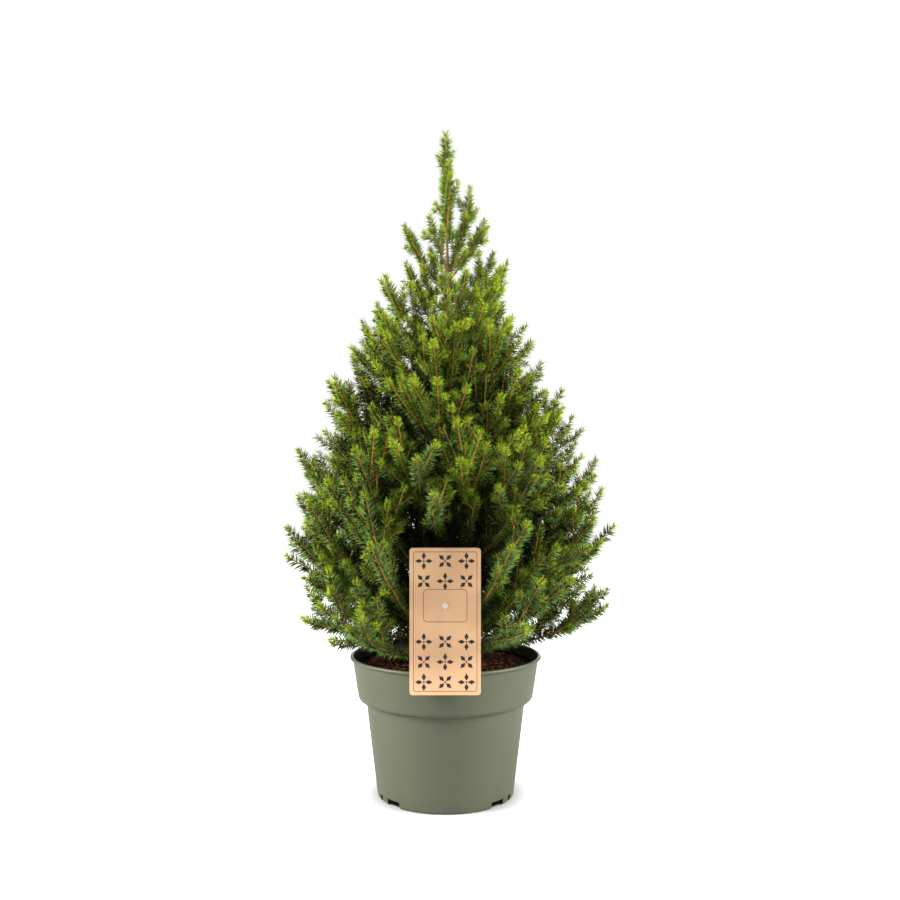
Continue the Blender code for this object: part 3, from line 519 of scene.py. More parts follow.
def lathe(profile, sides):
    """Closed mesh of a profile turned about the vertical axis; its ends lie on the axis."""
    vertices = [(0.0, 0.0, profile[0][1])]
    for radius, height in profile[1:-1]:
        for side in range(sides):
            angle = math.tau * side / sides
            vertices.append((radius * math.cos(angle), radius * math.sin(angle), height))
    vertices.append((0.0, 0.0, profile[-1][1]))
    return mesh_of(vertices, closed_faces(len(profile) - 2, sides))


def prism(outline, front, back):
    """Closed upright slab from an outline of (across, height) points, between two depths."""
    count = len(outline)
    vertices = [(across, front, height) for across, height in outline]
    vertices += [(across, back, height) for across, height in outline]
    faces = [tuple(range(count)), tuple(reversed(range(count, 2 * count)))]
    for index in range(count):
        after = (index + 1) % count
        faces.append((index, after, count + after, count + index))
    return vertices, faces


def joined(solids, smooth=False):
    """One mesh from several lists of vertices and faces."""
    vertices = []
    faces = []
    for more_vertices, more_faces in solids:
        base = len(vertices)
        vertices += more_vertices
        faces += [tuple(base + index for index in face) for face in more_faces]
    return mesh_of(vertices, faces, smooth)


def frames(points):
    """Place and two cross directions at each point of a line, without twist."""
    result = []
    direction = (points[1] - points[0]).normalized()
    side = side_of(direction)
    for index, point in enumerate(points):
        before = points[max(0, index - 1)]
        after = points[min(len(points) - 1, index + 1)]
        slope = (after - before).normalized()
        side = direction.rotation_difference(slope) @ side
        direction = slope
        result.append((point, side, direction.cross(side)))
    return result


def side_of(direction):
    """Level direction square to another one, or one along the front where it stands upright."""
    side = direction.cross(Vector((0.0, 0.0, 1.0)))
    if side.length < STEEP:
        side = direction.cross(Vector((1.0, 0.0, 0.0)))
    return side.normalized()


def tube(points, radii, sides, relief=None):
    """Vertices and faces of a closed bar along points; relief gives each surface point's swell."""
    vertices = []
    faces = []
    for (place, side, up), radius in zip(frames(points), radii):
        for sector in range(sides):
            angle = math.tau * sector / sides
            outward = side * math.cos(angle) + up * math.sin(angle)
            swell = relief(place + outward * radius, radius) if relief else 0.0
            vertices.append(place + outward * radius * (1.0 + swell))
    first = len(vertices)
    vertices += [points[0], points[-1]]
    foot = first - sides
    for low in range(0, foot, sides):
        high = low + sides
        for sector in range(sides):
            after = (sector + 1) % sides
            faces.append((low + sector, low + after, high + after, high + sector))
    for sector in range(sides):
        after = (sector + 1) % sides
        faces.append((first, after, sector))
        faces.append((first + 1, foot + sector, foot + after))
    return vertices, faces


# ---------------------------------------------------------------- node trees

def new_tree(name, tree_type, inputs, outputs):
    """Node tree with named sockets of given kinds, the outputs of its input node, and its end."""
    tree = bpy.data.node_groups.new(name, tree_type)
    for way, sockets in (("INPUT", inputs), ("OUTPUT", outputs)):
        for label, kind in sockets.items():
            tree.interface.new_socket(name=label, in_out=way, socket_type=f"NodeSocket{kind}")
    return tree, tree.nodes.new("NodeGroupInput").outputs, tree.nodes.new("NodeGroupOutput")


def fill(tree, node, **values):
    """Link or set a node's named sockets; colours are given by three channels."""
    for name, value in values.items():
        label = name.replace("_", " ")
        socket = next(s for s in node.inputs if s.enabled and s.name == label)
        if isinstance(value, bpy.types.NodeSocket):
            tree.links.new(value, socket)
        elif socket.type == "RGBA":
            socket.default_value = (*value, 1.0)
        else:
            socket.default_value = value


def add_node(tree, node_type, settings=None, **values):
    """Add a node, set its properties and fill its named sockets."""
    node = tree.nodes.new(node_type)
    for name, value in (settings or {}).items():
        setattr(node, name, value)
    fill(tree, node, **values)
    return node


def output_of(node):
    """First output that a node shows."""
    return next(s for s in node.outputs if s.enabled)


def object_place(tree):
    """Output with each point's place on its object."""
    return tree.nodes.new("ShaderNodeTexCoord").outputs["Object"]


def ranged(tree, value, start, end=(0.0, 1.0), **settings):
    """Output of a value spread from one range to another."""
    node = add_node(
        tree, "ShaderNodeMapRange", settings, Value=value, From_Min=start[0], From_Max=start[1],
        To_Min=end[0], To_Max=end[1],
    )
    return node.outputs[0]


def multiply(tree, first, second):
    """Output of a Math node that multiplies two sockets or values."""
    return calculate(tree, "MULTIPLY", first, second)


def calculate(tree, operation, first, second=0.0):
    """Output of a Math node."""
    node = add_node(tree, "ShaderNodeMath", {"operation": operation}, Value=first)
    if isinstance(second, bpy.types.NodeSocket):
        tree.links.new(second, node.inputs[1])
    else:
        node.inputs[1].default_value = second
    return node.outputs[0]


def mix_colours(tree, share, first, second):
    """Colour output that goes from the first colour to the second."""
    mix = add_node(tree, "ShaderNodeMix", {"data_type": "RGBA"}, Factor=share, A=first, B=second)
    return output_of(mix)


def mottle_group():
    """Broad and fine patches between two colours, which every surface of the plant has."""
    inputs = {"Light": "Color", "Dark": "Color"}
    inputs.update({label: "Float" for label in ("Broad Scale", "Fine Scale", "Fine Share")})
    tree, values, result = new_tree(
        "Mottle", "ShaderNodeTree", inputs, {"Colour": "Color", "Mask": "Float"},
    )
    place = object_place(tree)
    broad, fine = [
        add_node(tree, "ShaderNodeTexNoise", Vector=place, Scale=values[label], Detail=detail)
        for label, detail in zip(("Broad Scale", "Fine Scale"), PATCH_DETAILS)
    ]
    spread = ranged(tree, broad.outputs["Fac"], PATCH_EDGES)
    share = output_of(add_node(
        tree, "ShaderNodeMix", Factor=values["Fine Share"], A=spread, B=fine.outputs["Fac"],
    ))
    fill(tree, result, Colour=mix_colours(tree, share, values["Light"], values["Dark"]), Mask=share)
    return tree


def grain_group():
    """Fine grain of a surface: its bump and a mask for its roughness."""
    tree, values, result = new_tree(
        "Surface grain", "ShaderNodeTree",
        {"Scale": "Float", "Stretch": "Vector", "Strength": "Float", "Height": "Float"},
        {"Normal": "Vector", "Mask": "Float"},
    )
    stretched = add_node(
        tree, "ShaderNodeVectorMath", {"operation": "MULTIPLY"}, Vector=object_place(tree),
    )
    tree.links.new(values["Stretch"], stretched.inputs[1])
    detail, roughness = GRAIN_NOISE
    grain = add_node(
        tree, "ShaderNodeTexNoise", Vector=stretched.outputs[0], Scale=values["Scale"],
        Detail=detail, Roughness=roughness,
    )
    bump = add_node(
        tree, "ShaderNodeBump", Strength=values["Strength"], Distance=values["Height"],
        Height=grain.outputs["Fac"],
    )
    fill(tree, result, Normal=bump.outputs["Normal"], Mask=grain.outputs["Fac"])
    return tree


def settled_dust_group():
    """Mask of peat dust: thickest at a given height and fading away from it, in broken patches."""
    tree, values, result = new_tree(
        "Peat dust", "ShaderNodeTree", {"Level": "Float", "Reach": "Float", "Amount": "Float"},
        {"Mask": "Float"},
    )
    place = object_place(tree)
    height = add_node(tree, "ShaderNodeSeparateXYZ", Vector=place).outputs["Z"]
    offset = calculate(tree, "SUBTRACT", height, values["Level"])
    away = calculate(tree, "DIVIDE", calculate(tree, "ABSOLUTE", offset), values["Reach"])
    shown = calculate(tree, "MAXIMUM", calculate(tree, "SUBTRACT", 1.0, away), 0.0)
    detail, roughness = DUST_NOISE
    patches = add_node(
        tree, "ShaderNodeTexNoise", Vector=place, Scale=DUST_SCALE, Detail=detail, Roughness=roughness,
    )
    broken = ranged(tree, patches.outputs["Fac"], DUST_EDGES)
    fill(tree, result, Mask=multiply(tree, multiply(tree, shown, broken), values["Amount"]))
    return tree


# ---------------------------------------------------------------- materials

def place_group(tree, group, **values):
    """Place a node group in a material and fill its inputs."""
    return add_node(tree, "ShaderNodeGroup", {"node_tree": group}, **values)


def new_material(name):
    """Material with a Principled shader, its node tree and that shader."""
    material = bpy.data.materials.new(name)
    material.use_nodes = True
    return material, material.node_tree, material.node_tree.nodes["Principled BSDF"]


def peat_dust(tree, groups, colour):
    """Peat dust over a colour, at the pot's foot and under its lip."""
    for level, reach, amount in DUST:
        dust = place_group(tree, groups["dust"], Level=level, Reach=reach, Amount=amount)
        colour = mix_colours(tree, dust.outputs["Mask"], colour, DUST_COLOUR)
    return colour


def card_fibres(tree, groups, colour):
    """Fibres of a kraft card over its colour."""
    fibres = add_node(
        tree, "ShaderNodeTexVoronoi", {"feature": "DISTANCE_TO_EDGE"},
        Vector=object_place(tree), Scale=FIBRE_SCALE,
    )
    fleck = ranged(tree, fibres.outputs["Distance"], (0.0, FIBRE_WIDTH), (FIBRE_STRENGTH, 0.0))
    return mix_colours(tree, fleck, colour, FIBRE_COLOUR)


def finish(groups, look, cover=None):
    """Material of a look: mottled colour, worn roughness and, where it has one, a grain."""
    material, tree, shader = new_material(look.title)
    broad, fine, share = look.patches
    mottle = place_group(
        tree, groups["mottle"], Light=look.light, Dark=look.dark,
        Broad_Scale=broad, Fine_Scale=fine, Fine_Share=share,
    )
    masks = {"Mottle": mottle.outputs["Mask"]}
    colour = mottle.outputs["Colour"]
    if cover is not None:
        colour = cover(tree, groups, colour)
    if look.grain is not None:
        scale, stretch, strength, height = look.grain
        grain = place_group(
            tree, groups["grain"], Scale=scale, Stretch=(1.0, 1.0, stretch),
            Strength=strength, Height=height,
        )
        masks["Grain"] = grain.outputs["Mask"]
        fill(tree, shader, Normal=grain.outputs["Normal"])
    rough = ranged(tree, masks[look.worn], (0.0, 1.0), look.rough)
    fill(tree, shader, Base_Color=colour, Roughness=rough, **look.shader)
    return material


def plant_looks():
    """Looks of the soil's parts, of the barks and of each kind of needle."""
    looks = {}
    for name, (title, light, dark) in SOILS.items():
        looks[name] = SOIL_LOOK._replace(title=title, light=light, dark=dark)
    broad, fine, share = BARK_LOOK.patches
    grain, *relief = BARK_LOOK.grain
    for name, (title, light, dark, scale) in BARKS.items():
        looks[name] = BARK_LOOK._replace(
            title=title, light=light, dark=dark,
            patches=(scale * broad, scale * fine, share), grain=(scale * grain, *relief),
        )
    for name, kind in KINDS.items():
        light, dark = [[tone * channel for channel in kind.colour] for tone in NEEDLE_TONES]
        rough = [kind.roughness + change for change in NEEDLE_LOOK.rough]
        looks[name] = NEEDLE_LOOK._replace(title=f"{name} needles", light=light, dark=dark, rough=rough)
    return looks


def make_materials():
    """Every finish of the object, by the name of what wears it."""
    groups = {"mottle": mottle_group(), "grain": grain_group(), "dust": settled_dust_group()}
    covers = {"pot": peat_dust, "card": card_fibres}
    looks = {**LOOKS, **plant_looks()}
    return {name: finish(groups, look, covers.get(name)) for name, look in looks.items()}


def floor_finish():
    """White studio floor, white away from the pot, with a painted shadow round the pot's foot."""
    material, tree, shader = new_material("studio white")
    away = add_node(tree, "ShaderNodeVectorMath", {"operation": "LENGTH"}, Vector=object_place(tree))
    # Painted shadow: near the pot the floor is darker and its camera-only glow fades out
    clear = ranged(tree, away.outputs["Value"], PAINTED_SHADOW_EDGE, interpolation_type="SMOOTHSTEP")
    seen = tree.nodes.new("ShaderNodeLightPath").outputs["Is Camera Ray"]
    fill(
        tree, shader, Base_Color=mix_colours(tree, clear, FLOOR_PAINTED_SHADOW, FLOOR_CLEAR),
        Roughness=FLOOR_ROUGHNESS, Specular_IOR_Level=0.0, Emission_Color=WHITE,
        Emission_Strength=multiply(tree, clear, seen),
    )
    return material


# ---------------------------------------------------------------- pot and soil

def body_radius(height):
    """Outer radius of the pot's body under the band."""
    return blend(BASE_RADIUS, BODY_TOP_RADIUS, height / BAND_BOTTOM)


def band_radius(height):
    """Outer radius of the pot's band."""
    share = (height - BAND_BOTTOM) / (BAND_TOP - BAND_BOTTOM)
    return blend(BAND_BOTTOM_RADIUS, BAND_TOP_RADIUS, share)


def pot_profile():
    """The pot's section: floor, inner wall, rolled lip, band, body, rounded foot and raised base."""
    shelf = BAND_BOTTOM + POT_WALL
    lip = (LIP_RADIUS - LIP_ROLL, POT_HEIGHT - LIP_ROLL)
    underside = BAND_BOTTOM - BAND_DROP
    corner = (BAND_BOTTOM_RADIUS - BAND_BOTTOM_ROUNDING, underside + BAND_BOTTOM_ROUNDING)
    foot = (BASE_RADIUS - BASE_ROUNDING, BASE_ROUNDING)
    inside_foot = BASE_RADIUS - FOOT_WIDTH
    profile = [
        (0.0, POT_FLOOR),
        (body_radius(POT_FLOOR) - POT_WALL, POT_FLOOR),
        (body_radius(shelf) - POT_WALL, shelf),
        (band_radius(shelf) - POT_WALL, shelf),
        (lip[0] - LIP_ROLL, lip[1] - LIP_ROLL),
    ]
    profile += arc(lip, LIP_ROLL, 180.0, -90.0, LIP_STEPS)
    profile.append((band_radius(BAND_TOP), BAND_TOP))
    profile.append((band_radius(corner[1] + BAND_BOTTOM_ROUNDING), corner[1] + BAND_BOTTOM_ROUNDING))
    profile += arc(corner, BAND_BOTTOM_ROUNDING, 0.0, -90.0, ROUNDING_STEPS)
    fillet_width, fillet_drop = BAND_FILLET
    profile.append((body_radius(underside) + fillet_width, underside))
    profile.append((body_radius(underside) - FILLET_SINK, underside - fillet_drop))
    profile.append((body_radius(BAND_BOTTOM / 2.0), BAND_BOTTOM / 2.0))
    profile += arc(foot, BASE_ROUNDING, 0.0, -90.0, ROUNDING_STEPS)
    profile.append((inside_foot, 0.0))
    profile.append((inside_foot - FOOT_RECESS, FOOT_RECESS))
    profile.append((0.0, FOOT_RECESS))
    return profile


def notch_blocks():
    """Blocks that cut the drainage notches through the foot of the wall."""
    solids = []
    for side, turn in NOTCH_MIRRORS:
        for offset, width in NOTCHES:
            azimuth = FRONT + turn + side * offset
            shape = bmesh.new()
            bmesh.ops.create_cube(shape, size=1.0)
            height = 2.0 * NOTCH_HEIGHT
            shape.transform(Matrix.Diagonal((NOTCH_DEPTH, width, height, 1.0)))
            shape.transform(Matrix.Rotation(math.radians(azimuth), 4, "Z"))
            shape.transform(Matrix.Translation(polar(BASE_RADIUS, azimuth, 0.0)))
            shape.verts.ensure_lookup_table()
            vertices = [vertex.co.copy() for vertex in shape.verts]
            faces = [tuple(vertex.index for vertex in face.verts) for face in shape.faces]
            solids.append((vertices, faces))
            shape.free()
    return joined(solids)


def with_cut(mesh, cutter_mesh):
    """Mesh with another one cut out of it."""
    item = bpy.data.objects.new("being cut", mesh)
    cutter = bpy.data.objects.new("cutter", cutter_mesh)
    for made in (item, cutter):
        bpy.context.scene.collection.objects.link(made)
    cut = item.modifiers.new("cut", "BOOLEAN")
    cut.operation = "DIFFERENCE"
    cut.object = cutter
    cut.solver = "EXACT"
    result = evaluated_mesh(item)
    for made in (item, cutter):
        bpy.data.objects.remove(made)
    return result


def evaluated_mesh(item):
    """Plain mesh of an object with its modifiers worked in."""
    depsgraph = bpy.context.evaluated_depsgraph_get()
    depsgraph.update()
    return bpy.data.meshes.new_from_object(item.evaluated_get(depsgraph))


def build_pot(material):
    """Pot with its floor, band, rolled lip and drainage notches."""
    mesh = with_cut(lathe(pot_profile(), POT_SIDES), notch_blocks())
    mesh.set_sharp_from_angle(angle=math.radians(POT_CREASE))
    add_piece("pot_shell", mesh, material, ["pot"])


def soil_height(radius):
    """Height of the soil's mound at a radius, without its crumbs."""
    edge = band_radius(SOIL_EDGE) - SOIL_CLEARANCE
    stations = ((0.0, SOIL_TOP), (SOIL_FLAT_RADIUS, SOIL_TOP), SOIL_SHOULDER, (edge, SOIL_EDGE))
    for (near, near_height), (far, far_height) in zip(stations, stations[1:]):
        if radius <= far:
            return blend(near_height, far_height, (radius - near) / (far - near))
    return SOIL_EDGE


def soil_point(radius, azimuth):
    """Point of the soil's crumbly top."""
    point = polar(radius, azimuth, soil_height(radius))
    coarse, fine = [noise.noise(point * scale) for scale in CRUMB_NOISE]
    coarse_share, fine_share = CRUMB_SHARES
    swell = coarse_share * coarse + fine_share * fine - CRUMB_SINK
    point.z += SOIL_LOOSE + SOIL_CRUMB * swell
    return point


def build_soil(materials):
    """Peat that fills the pot, with a crumbly top and bark chips strewn over it."""
    edge = band_radius(SOIL_EDGE) - SOIL_CLEARANCE
    shelf = BAND_BOTTOM + POT_WALL + SOIL_LIFT
    bottom = POT_FLOOR + SOIL_LIFT
    walls = (
        (edge, SOIL_EDGE - SOIL_CRUMB),
        (band_radius(shelf) - SOIL_CLEARANCE, shelf),
        (body_radius(shelf) - SOIL_CLEARANCE, shelf),
        (body_radius(bottom) - SOIL_CLEARANCE, bottom),
    )
    vertices = [soil_point(0.0, 0.0)]
    for ring in range(1, SOIL_RINGS + 1):
        for sector in range(SOIL_SECTORS):
            azimuth = 360.0 * (sector + 0.5 * (ring % 2)) / SOIL_SECTORS
            vertices.append(soil_point(edge * ring / SOIL_RINGS, azimuth))
    for radius, height in walls:
        for sector in range(SOIL_SECTORS):
            vertices.append(polar(radius, 360.0 * sector / SOIL_SECTORS, height))
    vertices.append((0.0, 0.0, bottom))
    bed = mesh_of(vertices, closed_faces(SOIL_RINGS + len(walls), SOIL_SECTORS))
    add_piece("soil_bed", bed, materials["peat"], ["soil"])
    ground = soil_ground(edge - CHIP_EDGE)
    tree = chip_tree()
    for name, density, size, seed in CHIPS:
        settings = {"Density": density, "Size": size * CHIP_SIZE, "Seed": seed}
        chips = grown(tree, ground, materials[name], settings)
        add_piece(f"soil_{name}", chips, materials[name], ["soil"])
    bpy.data.meshes.remove(ground)


def soil_ground(edge):
    """Open sheet over the soil's top, which the bark chips are strewn on."""
    vertices = []
    faces = []
    for ring in range(GROUND_RINGS + 1):
        radius = blend(CHIP_MIDDLE, edge, ring / GROUND_RINGS)
        for sector in range(GROUND_SECTORS):
            vertices.append(soil_point(radius, 360.0 * sector / GROUND_SECTORS))
    for ring in range(GROUND_RINGS):
        low = ring * GROUND_SECTORS
        high = low + GROUND_SECTORS
        for sector in range(GROUND_SECTORS):
            after = (sector + 1) % GROUND_SECTORS
            faces.append((low + sector, high + sector, high + after, low + after))
    mesh = bpy.data.meshes.new("ground")
    mesh.from_pydata(vertices, [], faces)
    return mesh


# ---------------------------------------------------------------- growth by geometry nodes

def new_growth_tree(name, **inputs):
    """Geometry node tree with its sockets, the outputs of its input node, and its end."""
    inputs = {"Geometry": "Geometry", **inputs, "Material": "Material"}
    made = new_tree(name, "GeometryNodeTree", inputs, {"Geometry": "Geometry"})
    made[0].is_modifier = True
    return made


def jitter(tree, low, high, seed, more=0.0):
    """Random value for each element, from a seed socket and a number added to it."""
    if more:
        seed = calculate(tree, "ADD", seed, more)
    return output_of(add_node(
        tree, "FunctionNodeRandomValue", {"data_type": "FLOAT"}, Min=low, Max=high, Seed=seed,
    ))


def scaled(tree, vector, factor):
    """Output of a vector scaled by a factor."""
    node = add_node(tree, "ShaderNodeVectorMath", {"operation": "SCALE"}, Vector=vector, Scale=factor)
    return node.outputs[0]


def compared(tree, operation, first, second):
    """Output that says how two numbers compare."""
    settings = {"data_type": "FLOAT", "operation": operation}
    return output_of(add_node(tree, "FunctionNodeCompare", settings, A=first, B=second))


def turn_about(tree, rotation, axis, angle):
    """Rotation turned about one of its own axes."""
    turn = add_node(tree, "FunctionNodeAxisAngleToRotation", Axis=axis, Angle=angle)
    node = add_node(
        tree, "FunctionNodeRotateRotation", {"rotation_space": "LOCAL"},
        Rotation=rotation, Rotate_By=turn.outputs[0],
    )
    return node.outputs[0]


def finish_tree(tree, result, geometry, material, smooth):
    """End a tree: real geometry, its shading and its material."""
    real = add_node(tree, "GeometryNodeRealizeInstances", Geometry=geometry)
    shaded = add_node(
        tree, "GeometryNodeSetShadeSmooth", Geometry=real.outputs[0], Shade_Smooth=smooth,
    )
    dressed = add_node(
        tree, "GeometryNodeSetMaterial", Geometry=shaded.outputs[0], Material=material,
    )
    fill(tree, result, Geometry=dressed.outputs[0])
    return tree


def stored(tree, name):
    """Value of an attribute that the lines carry."""
    node = add_node(tree, "GeometryNodeInputNamedAttribute", {"data_type": "FLOAT"}, Name=name)
    return output_of(node)


def needle_tree():
    """Needles set spirally along lines, leaning forward by the lines' own lean and size."""
    tree, values, result = new_growth_tree(
        "Needles on shoots", Spacing="Float", Length="Float", Width="Float", Turn="Float", Seed="Int",
    )
    seed = values["Seed"]
    lines = add_node(tree, "GeometryNodeMeshToCurve", Mesh=values["Geometry"])
    places = add_node(
        tree, "GeometryNodeCurveToPoints", {"mode": "LENGTH"},
        Curve=lines.outputs[0], Length=values["Spacing"],
    )
    spiral = multiply(tree, tree.nodes.new("GeometryNodeInputIndex").outputs[0], values["Turn"])
    roll = calculate(tree, "ADD", spiral, jitter(tree, -NEEDLE_ROLL, NEEDLE_ROLL, seed))
    turned = turn_about(tree, places.outputs["Rotation"], (0.0, 0.0, 1.0), roll)
    wobble = jitter(tree, -NEEDLE_WOBBLE, NEEDLE_WOBBLE, seed, 1.0)
    leaning = turn_about(
        tree, turned, (1.0, 0.0, 0.0), calculate(tree, "ADD", stored(tree, "lean"), wobble),
    )
    scale = multiply(tree, stored(tree, "size"), jitter(tree, *NEEDLE_SPREAD, seed, 2.0))
    kept = compared(tree, "LESS_THAN", jitter(tree, 0.0, 1.0, seed, 3.0), stored(tree, "share"))
    # A cone of three sides, one of them drawn in to its axis and down: a flat pointed spindle
    cone = add_node(
        tree, "GeometryNodeMeshCone", {"fill_type": "NGON"},
        Vertices=3, Radius_Top=0.0, Radius_Bottom=1.0, Depth=1.0,
    )
    position = tree.nodes.new("GeometryNodeInputPosition").outputs[0]
    across = add_node(tree, "ShaderNodeSeparateXYZ", Vector=position).outputs["X"]
    keel = compared(tree, "GREATER_THAN", across, 0.5)
    spindle = add_node(
        tree, "GeometryNodeSetPosition", Geometry=cone.outputs["Mesh"],
        Selection=keel, Offset=(-1.0, 0.0, -NEEDLE_BELLY),
    )
    thickness = multiply(tree, values["Width"], NEEDLE_FLATNESS)
    size = add_node(tree, "ShaderNodeCombineXYZ", X=values["Width"], Y=thickness, Z=values["Length"])
    foot = multiply(tree, values["Length"], NEEDLE_BELLY)
    shift = add_node(tree, "ShaderNodeCombineXYZ", X=0.0, Y=0.0, Z=foot)
    needle = add_node(
        tree, "GeometryNodeTransform", Geometry=spindle.outputs[0],
        Translation=shift.outputs[0], Scale=size.outputs[0],
    )
    set_out = add_node(
        tree, "GeometryNodeInstanceOnPoints", Points=places.outputs["Points"],
        Selection=kept, Instance=needle.outputs[0], Rotation=leaning, Scale=scale,
    )
    return finish_tree(tree, result, set_out.outputs[0], values["Material"], True)


def shoot_tree():
    """Round tapering shoots along lines, by the lines' own thickness."""
    tree, values, result = new_growth_tree("Bark of shoots", Sides="Int", Thickness="Float")
    lines = add_node(tree, "GeometryNodeMeshToCurve", Mesh=values["Geometry"])
    ring = add_node(tree, "GeometryNodeCurvePrimitiveCircle", Resolution=values["Sides"], Radius=1.0)
    bars = add_node(
        tree, "GeometryNodeCurveToMesh", Curve=lines.outputs[0], Profile_Curve=ring.outputs["Curve"],
        Scale=multiply(tree, stored(tree, "thick"), values["Thickness"]), Fill_Caps=True,
    )
    return finish_tree(tree, result, bars.outputs[0], values["Material"], True)


def chip_tree():
    """Bark chips strewn over a sheet, each a flattened, broken lump."""
    tree, values, result = new_growth_tree("Bark chips", Density="Float", Size="Float", Seed="Int")
    seed = values["Seed"]
    strewn = add_node(
        tree, "GeometryNodeDistributePointsOnFaces", Mesh=values["Geometry"],
        Density=values["Density"], Seed=seed,
    )
    lump = add_node(tree, "GeometryNodeMeshIcoSphere", Radius=0.5, Subdivisions=1)
    tilt = [jitter(tree, -CHIP_TILT, CHIP_TILT, seed, more) for more in (1.0, 2.0)]
    heading = jitter(tree, 0.0, math.tau, seed, 3.0)
    angles = add_node(tree, "ShaderNodeCombineXYZ", X=tilt[0], Y=tilt[1], Z=heading)
    rotation = add_node(tree, "FunctionNodeEulerToRotation", Euler=angles.outputs[0])
    sizes = [
        multiply(tree, jitter(tree, low, high, seed, 4.0 + more), values["Size"])
        for more, (low, high) in enumerate(CHIP_PROPORTIONS)
    ]
    scale = add_node(tree, "ShaderNodeCombineXYZ", X=sizes[0], Y=sizes[1], Z=sizes[2])
    chips = add_node(
        tree, "GeometryNodeInstanceOnPoints", Points=strewn.outputs["Points"],
        Instance=lump.outputs[0], Rotation=rotation.outputs[0], Scale=scale.outputs[0],
    )
    real = add_node(tree, "GeometryNodeRealizeInstances", Geometry=chips.outputs[0])
    position = tree.nodes.new("GeometryNodeInputPosition").outputs[0]
    break_scale, break_depth = CHIP_BREAKS
    rough = add_node(tree, "ShaderNodeTexNoise", Vector=position, Scale=break_scale, Detail=1.0)
    centred = add_node(
        tree, "ShaderNodeVectorMath", {"operation": "SUBTRACT"}, Vector=rough.outputs["Color"],
    )
    centred.inputs[1].default_value = (0.5, 0.5, 0.5)
    broken = add_node(
        tree, "GeometryNodeSetPosition", Geometry=real.outputs[0],
        Offset=scaled(tree, centred.outputs[0], multiply(tree, values["Size"], break_depth)),
    )
    return finish_tree(tree, result, broken.outputs[0], values["Material"], False)


def grown(tree, mesh, material, settings):
    """Plain mesh that a geometry node tree makes from another mesh."""
    item = bpy.data.objects.new("growing", mesh)
    bpy.context.scene.collection.objects.link(item)
    growth = item.modifiers.new("growth", "NODES")
    growth.node_group = tree
    wanted = {**settings, "Material": material}
    for socket in tree.interface.items_tree:
        if socket.item_type == "SOCKET" and socket.in_out == "INPUT" and socket.name in wanted:
            growth[socket.identifier] = wanted[socket.name]
    result = evaluated_mesh(item)
    item.modifiers.clear()
    bpy.data.objects.remove(item)
    for name in ("lean", "size", "share", "thick"):
        if name in result.attributes:
            result.attributes.remove(result.attributes[name])
    return result


def lines_mesh(lines, **attributes):
    """Mesh of loose lines, whose points carry named values, one list of values for each line."""
    vertices = []
    edges = []
    for points in lines:
        base = len(vertices)
        vertices += points
        edges += [(base + index, base + index + 1) for index in range(len(points) - 1)]
    mesh = bpy.data.meshes.new("lines")
    mesh.from_pydata(vertices, edges, [])
    for name, lists in attributes.items():
        attribute = mesh.attributes.new(name, "FLOAT", "POINT")
        attribute.data.foreach_set("value", [value for values in lists for value in values])
    return mesh


# ---------------------------------------------------------------- label

def rounded_rectangle(width, bottom, top, corner, steps):
    """Outline of a rectangle with round corners."""
    points = []
    low = bottom + corner
    high = top - corner
    for quarter, (side, height) in enumerate(((1, high), (-1, high), (-1, low), (1, low))):
        middle = (side * (width / 2.0 - corner), height)
        points += arc(middle, corner, 90.0 * quarter, 90.0 * (quarter + 1), steps)
    return points


def build_card(materials):
    """Upright card with softened edges and a round hole for the stake's pin."""
    curve = bpy.data.curves.new("card", "CURVE")
    curve.dimensions = "2D"
    curve.fill_mode = "BOTH"
    curve.extrude = CARD_THICKNESS / 2.0 - CARD_EDGE
    curve.bevel_depth = CARD_EDGE
    curve.bevel_resolution = 1
    curve.offset = -CARD_EDGE
    outline = rounded_rectangle(CARD_WIDTH, CARD_BOTTOM, CARD_TOP, CARD_CORNER, CARD_CORNER_STEPS)
    hole = arc((0.0, STAKE_Z), CARD_HOLE, 0.0, 360.0 - 360.0 / HOLE_POINTS, HOLE_POINTS - 1)
    for points in (outline, hole):
        spline = curve.splines.new("POLY")
        spline.points.add(len(points) - 1)
        spline.use_cyclic_u = True
        for point, (across, height) in zip(spline.points, points):
            point.co = (across, height, 0.0, 1.0)
    item = bpy.data.objects.new("card", curve)
    bpy.context.scene.collection.objects.link(item)
    mesh = evaluated_mesh(item)
    bpy.data.objects.remove(item)
    upright = Matrix.Translation((0.0, CARD_Y, 0.0)) @ Matrix.Rotation(math.radians(90.0), 4, "X")
    mesh.transform(upright)
    add_piece("kraft_card", mesh, materials["card"], ["label_card"])


def lozenge(middle, direction):
    """Outline of one lozenge that points away from its motif's middle."""
    length, width = LOZENGE
    along = Vector((math.cos(direction), math.sin(direction)))
    across = Vector((-along.y, along.x))
    centre = Vector(middle) + along * LOZENGE_OFFSET
    corners = (
        centre + along * length / 2.0, centre + across * width / 2.0,
        centre - along * length / 2.0, centre - across * width / 2.0,
    )
    return [(corner.x, corner.y) for corner in corners]


